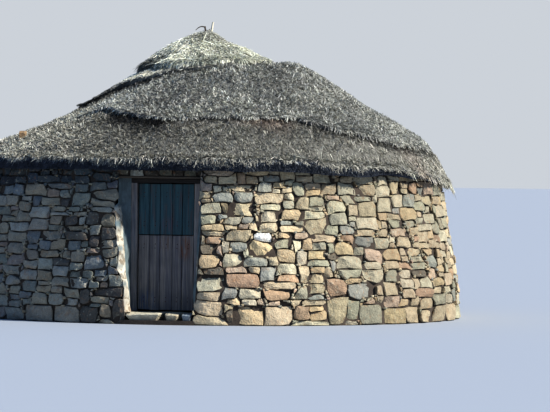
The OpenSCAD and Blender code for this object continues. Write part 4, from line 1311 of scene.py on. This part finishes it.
def grey_tone(a, r):
    """Colour of the aged grey coats, by direction and radius: greyer high up, browner at the eave, with
    painted shade on the sunny side and painted light on the left.
    """
    pale = np.clip(0.5 + 0.5 * patches(a, r, (22, 3.2), (70, 7), 151), 0, 1)
    base = mix(linear(134, 134, 127), linear(176, 175, 164), pale[..., None])
    sunny_side_shade = 1 - 0.16 * within(a, -80, 75, 45)
    return base * painted_left_light(a) * sunny_side_shade[..., None]


def eave_tone(a, r):
    """Colour of the eave coat and of the main coat's left part: grey-brown with reddish patches, and painted
    light on the left.
    """
    pale = np.clip(0.5 + 0.5 * patches(a, r, (26, 3.6), (80, 8), 161), 0, 1)
    base = mix(linear(112, 110, 101), linear(152, 150, 138), pale[..., None])
    red = np.clip(ripple(round_share(a) * 18, r * 2.6, 163, 18) * 1.6 - 0.35, 0, 0.75)
    red = red * np.clip(1.4 - np.abs(wrapped(a) + 60) / 60, 0.15, 1)
    return mix(base, linear(132, 110, 94), red[..., None]) * painted_left_light(a)


def straw_tone(a, r):
    """Colour of the cap's pale straw."""
    pale = np.clip(0.55 + 0.7 * patches(a, r, (12, 5), (40, 12), 171, 0.6), 0, 1)
    return mix(linear(172, 173, 158), linear(236, 235, 217), pale[..., None])


def crevice(a, r, edge, width):
    """Share of light that reaches a coat just outside the edge of the coat above it."""
    deep = lookup(wrapped(a), CREVICE)
    width = width * (1 + 3.2 * within(a, -205, -112, 14))
    return (1 - deep * np.exp(-(np.maximum(r - edge(a), 0) / width) ** 3))[..., None]


def eave_coat_tone(a, r):
    """Painted shade in the hollow under the main coat's edge, with a band of painted light below it."""
    out = np.maximum(r - main_edge(a), 0)
    hollow = within(a, -120, -88, 7)
    deep = 0.6 * within(a, -125, 160, 8) + 0.35 * hollow
    notch_shade = 1 - deep * np.exp(-(out / (0.035 + 0.22 * hollow)) ** 3)
    pale = within(a, -150, 20, 15) * np.exp(-((r - main_edge(a) - 0.09) / 0.035) ** 2) * 0.3
    return mix(eave_tone(a, r), linear(176, 170, 156), pale[..., None]) * notch_shade[..., None]


def main_coat_tone(a, r):
    """Browner on the left, and with painted shade under the crown coat's edge."""
    left = within(a, -220, -128, 14)
    tone = mix(grey_tone(a, r), eave_tone(a, r), left[..., None])
    return tone * crevice(a, r, crown_edge, 0.06)


def crown_coat_tone(a, r):
    """On the left, a band of painted light and then painted shade at its foot."""
    left = within(a, -205, -110, 14)
    pale = left * np.exp(-((r - 0.88) / 0.07) ** 2)
    tone = mix(grey_tone(a, r), linear(218, 213, 192), 0.8 * pale[..., None])
    return tone * (1 - 0.8 * left * step((r - 0.97) / 0.12))[..., None]


def cap_tone(a, r):
    """Pale straw, greyer at the peak, with painted shade low down on the left."""
    hollow = within(a, -200, -118, 16) * step((r - 0.52 - 0.07 * ripple(a * 0.09, r * 5, 173)) / 0.09)
    grey = step((0.34 - r) / 0.2) * 0.5
    tone = mix(straw_tone(a, r), linear(140, 138, 126), grey[..., None])
    return tone * (1 - 0.85 * hollow[..., None])


TONES = {1: eave_coat_tone, 2: main_coat_tone, 3: crown_coat_tone, 4: cap_tone}

# Factors for the colour of each coat's cut edge: painted blue shade on the eave coat's, painted shade on the
# main coat's, and painted light on the crown coat's and the cap's
CUT_SHADE_AND_LIGHT = {1: (0.11, 0.17, 0.36), 2: (0.7, 0.7, 0.72), 3: (1.3, 1.3, 1.3), 4: (1.6, 1.6, 1.6)}


def coat_body(level, inner, rows, sectors, node, finish, slot):
    """A coat of thatch as a closed shell: its top in rings from the peak to the wavy lower edge,
    dense where it shows, then the cut edge, and its foot on the coat below."""
    a = START + np.arange(sectors) * 360 / sectors
    turn = np.radians(a)
    edge = EDGES[level](a) + edge_wave(level, a)
    hidden = np.clip(inner(a) / edge, 0, 0.97) if inner else 0 * a + 0.02
    shares = [np.full(sectors, 0.004)] + ([hidden * 0.5] if inner else [])
    shares += [mix(hidden, 1, s) for s in np.linspace(0, 1, rows) ** 0.9]
    top = [surface(level, edge * s, a) for s in shares]
    edge_z = top[-1][:, 2]
    drop = edge_z - coat_z(level - 1, edge, a)
    lean = 0.018 if level > 1 else 0.03
    rough = 0.012 * ripple(round_share(a) * 240, 0.5, 180 + level, 240)
    sides = [polar(edge - lean * s + rough * (1 - s), turn, edge_z - drop * s) for s in (0.25, 0.6, 0.93)]
    foot_shares = (0.985, 0.9, 0.8, 0.65, 0.5, 0.3, 0.15, 0.004) if level == 1 else (0.95, 0.5, 0.004)
    sunk = 0.002 if level > 1 else 0
    feet = [polar(edge * s, turn, coat_z(level - 1, edge * s, a) - sunk) for s in foot_shares]
    rings = np.stack(top + sides + feet)
    r = np.hypot(rings[..., 0], rings[..., 1])
    # Painted shade: the shell under the stems is half as bright, as the gaps between the stems are in shade
    tint = TONES[level](np.broadcast_to(a, r.shape), r) * 0.5
    tint[len(top):] *= np.array(CUT_SHADE_AND_LIGHT[level])
    tint = np.concatenate([tint.reshape(-1, 3), tint[0, :1], tint[-1, :1]])
    piece(node + "_body", loft(rings), finish, "hut", [node], tint=tint, smooth=70)


STRAIGHT = np.array([[0, 1, 2, 3]])
BENT = np.array([[0, 1, 2, 3], [3, 2, 4, 5]])


def straight(start, end, across):
    """Corners of flat blades that are narrower at their ends."""
    return [start - across, start + across, end + across * 0.6, end - across * 0.6]


def blades(name, points, faces, tone, light, finish):
    """Loose flat blades as one piece. tone is each blade's colour, light a factor for each of its points."""
    tint = tone[:, None] * np.array(light)[:, None]
    piece(name, copies(np.stack(points, 1), [faces]), finish, "hut", tint=tint.reshape(-1, 3), smooth=0,
          closed=False)


def stems(name, level, count, reach_in, seed, finish, slot, length=(0.05, 0.11), width=(0.005, 0.009),
          scatter=0.4, lift=(0.002, 0.016), tuft=4, bright=1.0, droop=0.0, over=0.0, band=None, tone_to=1.45,
          bent=False, roll=0.5):
    """Stems lying on a coat: flat blades that follow the slope, turned aside by chance, with the lower
    end lifted. They lie in tufts that share a tone and a direction. Each is a straight strip, or one
    that is bent over its middle, with painted shade at its upper end, which lies under other stems.
    over is how far their tips pass the coat's edge, more in some places than in others; band keeps
    them within that distance of the edge."""
    rng = np.random.default_rng(seed)
    tufts = count // tuft
    edge = EDGES[level]
    bins = START + (np.arange(1440) + 0.5) / 4
    inner = edge(bins) - band if band else reach_in(bins)
    weight = np.maximum(edge(bins) ** 2 - inner ** 2, 1e-4)
    a = bins[rng.choice(1440, tufts, p=weight / weight.sum())] + rng.uniform(-0.125, 0.125, tufts)
    inner = edge(a) - band if band else reach_in(a)
    r = np.sqrt(mix(inner ** 2, edge(a) ** 2, rng.random(tufts)))
    tone = TONES[level](a, r) * bright * rng.uniform(0.7, 1.3, (tufts, 1))
    way = rng.normal(0, scatter, tufts)
    a, r, way = (np.repeat(v, tuft) for v in (a, r, way))
    n = len(a)
    tone = np.repeat(tone, tuft, 0) * rng.uniform(1 / tone_to, tone_to, (n, 1))
    tone = tone * rng.uniform(0.97, 1.03, (n, 3))
    size = rng.uniform(*length, n)
    way = way + rng.normal(0, scatter * 0.7, n)
    r = np.maximum(r + rng.normal(0, 0.02, n), 0.01)
    a = a + np.degrees(rng.normal(0, 0.014, n) / np.maximum(r, 0.15))
    clump = clumps(level, a)
    reach = edge(a) + edge_wave(level, a) + over * clump * rng.uniform(0.3, 1.2, n)
    r = np.maximum(np.minimum(r, reach - size * np.maximum(np.cos(way), 0) * 0.92), 0.01)
    rise = rng.uniform(*lift, n)
    hang = rng.uniform(0.2, 1.3, n) * (0.3 + 1.1 * clump)

    def at(share, up):
        x = r * np.cos(np.radians(a)) + size * share * np.cos(np.radians(a) + way)
        y = r * np.sin(np.radians(a)) + size * share * np.sin(np.radians(a) + way)
        radius, turn = np.hypot(x, y), np.degrees(np.arctan2(y, x))
        return surface(level, radius, turn, up - droop * size * share ** 2 * hang)

    start = at(0, -0.006 + 0 * r)
    end = at(0.9, 0.003 + rise)
    along = end - start
    along /= np.linalg.norm(along, axis=1, keepdims=True)
    across = np.cross(along, [0, 0, 1.0])
    across /= np.maximum(np.linalg.norm(across, axis=1, keepdims=True), 1e-6)
    normal = np.cross(across, along)
    roll = rng.normal(0, roll, n)
    across = across * np.cos(roll)[:, None] + normal * np.sin(roll)[:, None]
    across *= (rng.uniform(*width, n) / 2)[:, None]
    if bent:
        middle = at(0.46, 0.004 + 0.4 * rise)
        points = [start - across * 0.8, start + across * 0.8, middle + across, middle - across,
                  end + across * 0.45, end - across * 0.45]
        blades(name, points, BENT, tone, [0.75, 0.75, 1, 1, 1.15, 1.15], finish)
    else:
        blades(name, straight(start, end, across), STRAIGHT, tone, [0.55, 0.55, 1.15, 1.15], finish)


def thatch():
    """The four coats and the stems on them."""
    grey = THATCH, "grey_thatch"
    pale = STRAW, "pale_thatch"
    coat_body(1, main_edge, 26, 360, "thatch_eave_coat", *grey)
    coat_body(2, crown_edge, 34, 288, "thatch_main_coat", *grey)
    coat_body(3, cap_edge, 14, 288, "thatch_crown_coat", *grey)
    coat_body(4, None, 26, 144, "thatch_cap", *pale)

    def under(edge):
        return lambda a: edge(a) - 0.1

    stems("eave_coat_stems", 1, 46000, under(main_edge), 201, *grey, length=(0.035, 0.085),
          width=(0.005, 0.01), over=0.035)
    stems("eave_coat_loose", 1, 34000, under(main_edge), 202, *grey, length=(0.02, 0.06), scatter=1.1,
          lift=(0.006, 0.032), bright=1.15, tone_to=2.0)
    stems("eave_fringe", 1, 16000, None, 203, *grey, length=(0.035, 0.11), scatter=0.9, droop=0.55, over=0.09,
          band=0.12, bright=1.25, tone_to=1.9, bent=True, roll=0.7)
    stems("main_coat_stems", 2, 60000, under(crown_edge), 204, *grey, length=(0.035, 0.085),
          width=(0.005, 0.01), over=0.02)
    stems("main_coat_loose", 2, 46000, under(crown_edge), 205, *grey, length=(0.02, 0.06), scatter=1.1,
          lift=(0.006, 0.032), bright=1.2, tone_to=2.0)
    stems("main_edge_fringe", 2, 9000, None, 206, *grey, length=(0.05, 0.13), scatter=0.6, droop=0.45,
          over=0.05, band=0.1, bright=1.1, tone_to=1.7, bent=True)
    stems("crown_coat_stems", 3, 17000, under(cap_edge), 207, *grey, scatter=0.6, bright=1.15, droop=0.1,
          over=0.03, tone_to=1.8)
    stems("cap_stems", 4, 17000, lambda a: 0 * a + 0.02, 208, *pale, length=(0.05, 0.14), scatter=0.9,
          lift=(0.003, 0.03), droop=0.1, over=0.02, tone_to=1.35)
    stems("cap_edge_fringe", 4, 5200, None, 210, *pale, length=(0.08, 0.18), scatter=0.6, droop=0.85,
          over=0.1, band=0.13, bright=0.95, tone_to=1.6, bent=True)
    stems("cap_wisps", 4, 3600, lambda a: 0 * a + 0.1, 209, *pale, length=(0.12, 0.28), width=(0.004, 0.008),
          scatter=0.8, lift=(0.01, 0.045), tuft=3, droop=0.2, over=0.08, bright=1.15, tone_to=1.3, bent=True)
    cut_ends()


def clumps(level, a):
    """How much grass hangs over a coat's edge, from 0 to 1.5, by direction."""
    return np.clip(0.55 + 0.4 * ripple((a - START) / 6, 0.5, 190 + level, 60) +
                   0.6 * ripple((a - START) * 0.9, 0.5, 195 + level, 324), 0.0, 1.5)


def cut_ends():
    """Ends of the stems on the eave's cut face: short blades that hang from it in clumps, in many layers."""
    rng = np.random.default_rng(220)
    n = 15000
    a = rng.uniform(START, START + 360, n)
    share = rng.random(n)
    r = eave_edge(a) + edge_wave(1, a) - 0.03 * share - rng.uniform(0.0, 0.012, n)
    high, low = coat_z(1, r, a), coat_z(0, r, a)
    size = rng.uniform(0.025, 0.06, n)
    out = polar(1, np.radians(a), 0)
    side = np.stack([-out[:, 1], out[:, 0], 0 * a], -1)
    way = out * rng.uniform(0.4, 1.3, n)[:, None] + side * rng.normal(0, 0.9, n)[:, None]
    way = way + np.array([0, 0, -0.8])
    way /= np.linalg.norm(way, axis=1, keepdims=True)
    start = polar(r, np.radians(a), mix(high, low, share * 0.92))
    end = start + way * size[:, None]
    clump = clumps(1, a)
    end[:, 2] = np.maximum(end[:, 2], low + 0.004 - 0.03 * clump)
    across = side * (rng.uniform(0.005, 0.009, n) / 2)[:, None]
    # Painted light on the clumps' lower ends that stand out, and dark, bluish painted shade on the rest of
    # the cut face
    lit = step((0.75 * clump - share) / 0.2)
    tone = eave_tone(a, r) * (rng.uniform(0.6, 1.3, n) * mix(0.12, 1.35, lit))[:, None]
    tone = tone * mix(np.array([0.75, 1.0, 1.6]), np.ones(3), lit[:, None])
    blades("eave_cut_ends", straight(start, end, across), STRAIGHT, tone, [0.7, 0.7, 1.1, 1.1], THATCH)


def ridge_sticks():
    """The pale stake and the dark twig at the peak: round poles that lean along one line."""
    peak = under_z(0) + float(coat_rise(4, np.array(0.0), np.array(FULL_SIDE)))
    line = math.radians(6)

    def stick(at, lean, thick, out):
        h = np.linspace(-0.09, out - 0.001, 9)
        along = at + h * math.sin(math.radians(lean))
        sway = 0.002 * np.sin(np.linspace(0, 5, 9))
        path = np.stack([along * math.cos(line) + sway, along * math.sin(line) + sway,
                         peak + h * math.cos(math.radians(lean))], 1)
        return pole(path, np.linspace(0.48 * thick, 0.42 * thick, 9), 10, 300, 0.05)

    piece("pale_stick_cut", stick(0.03, 12, 0.028, 0.084), STICK_WOOD, "hut", ["pale_stick"],
          smooth=50)
    # A twig of the dark stick is bent over to the left
    bend = np.linspace(0, 1, 12)
    z = peak + 0.022 + 0.05 * bend - 0.085 * bend ** 2
    path = np.stack([-0.048 - 0.1 * bend, -0.008 - 0.02 * bend, z], 1)
    both = joined([stick(-0.042, -4, 0.022, 0.034), pole(path, 0.0075 - 0.004 * bend, 8, 310, 0.08)])
    piece("dark_stick_cut", both, DARK_STICK_WOOD, "hut", ["dark_stick"], smooth=50)


def roof_stone():
    """The stone that weighs the thatch down on the left."""
    rng = np.random.default_rng(77)
    reach, turn = squared(rng, np.array([[0.04, 0.04]]))
    shape, _ = rubble(rng, reach, turn, np.array([0.13]))
    seat = surface(1, np.array(2.24), np.array(-144.2))
    points = seat + np.stack([shape[..., 1], shape[..., 2], shape[..., 0] + 0.085], -1)
    split_stones("roof_stone", points, np.ones(points.shape) * linear(146, 122, 92), smooth=32)


def carried_over():
    """Nodes of the frame whose shape is right keep it and get their finish."""
    for node, finish in (("earth_floor", FLOOR_EARTH), ("sill_bed", MORTAR), ("lower_leaf_straps", IRON),
                         ("upper_leaf_straps", IRON), ("hinge_pins", IRON)):
        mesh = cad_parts[node].data
        mesh.materials.clear()
        mesh.materials.append(finish)


def studio():
    """Plain pale floor and world, a soft key light from the right and the photograph's camera."""
    scene = bpy.context.scene
    mesh = bpy.data.meshes.new("floor")
    points = polar(400, np.linspace(0, 2 * np.pi, 96, endpoint=False), -0.001)
    mesh.from_pydata(points.tolist(), [], [list(range(96))])
    ground = bpy.data.objects.new("floor", mesh)
    scene.collection.objects.link(ground)
    plain = bpy.data.materials.new("pale_floor")
    plain.use_nodes = True
    shader = plain.node_tree.nodes["Principled BSDF"]
    shader.inputs["Base Color"].default_value = (0.33, 0.36, 0.4, 1)
    shader.inputs["Roughness"].default_value = 0.9
    mesh.materials.append(plain)

    # A dim room all round, with a pale backdrop behind the hut
    world = bpy.data.worlds.new("pale_studio")
    world.use_nodes = True
    nodes, links = world.node_tree.nodes, world.node_tree.links
    way = nodes.new("ShaderNodeSeparateXYZ")
    links.new(nodes.new("ShaderNodeTexCoord").outputs["Generated"], way.inputs[0])
    backdrop = nodes.new("ShaderNodeMapRange")
    backdrop.interpolation_type = "SMOOTHSTEP"
    for key, value in (("From Min", 0.75), ("From Max", 0.95), ("To Min", 0.0), ("To Max", 1.0)):
        backdrop.inputs[key].default_value = value
    links.new(way.outputs[1], backdrop.inputs["Value"])
    blend = nodes.new("ShaderNodeMix")
    blend.data_type = "RGBA"
    blend.inputs[6].default_value = (0.14, 0.25, 0.47, 1)
    blend.inputs[7].default_value = (0.55, 0.58, 0.62, 1)
    links.new(backdrop.outputs["Result"], blend.inputs[0])
    links.new(blend.outputs[2], nodes["Background"].inputs[0])
    nodes["Background"].inputs[1].default_value = 1.0
    scene.world = world

    key = bpy.data.lights.new("key", "SUN")
    key.energy = 6.1
    key.angle = math.radians(2.5)
    key.color = (1.0, 0.96, 0.9)
    lamp = bpy.data.objects.new("key", key)
    lamp.rotation_mode = "QUATERNION"
    lamp.rotation_quaternion = Vector((0.77, -0.14, 0.622)).to_track_quat("Z", "Y")
    scene.collection.objects.link(lamp)

    camera = bpy.data.cameras.new("camera")
    camera.lens = 229.7
    camera.sensor_width = 36
    camera.clip_end = 1000
    eye = bpy.data.objects.new("camera", camera)
    scene.collection.objects.link(eye)
    # It stands off to the right and looks at the hut's middle, but for a small turn, tilt and roll
    place = Vector((7.18, -38.74, 1.6))
    heading = math.atan2(-place.x, -place.y) + math.radians(1.11)
    pitch = math.radians(-0.54)
    roll = math.radians(0.7)
    flat = math.cos(pitch)
    ahead = Vector((math.sin(heading) * flat, math.cos(heading) * flat, math.sin(pitch)))
    level = Vector((math.cos(heading), -math.sin(heading), 0))
    upright = level.cross(ahead)
    right = level * math.cos(roll) + upright * math.sin(roll)
    above = upright * math.cos(roll) - level * math.sin(roll)
    eye.matrix_world = Matrix((right, above, -ahead)).transposed().to_4x4()
    eye.location = place
    scene.camera = eye
    scene.view_settings.view_transform = "Standard"
    scene.view_settings.exposure = 0.25
    scene.view_settings.gamma = 0.84


wall_core()
wall_stones()
over_door()
doorway()
leaf("lower", 0.132, 0.926, LOWER_WOOD, 30, 0.012)
leaf("upper", 0.934, 1.47, UPPER_WOOD, 50, 0.0)
roof_poles()
thatch()
ridge_sticks()
roof_stone()
carried_over()
studio()
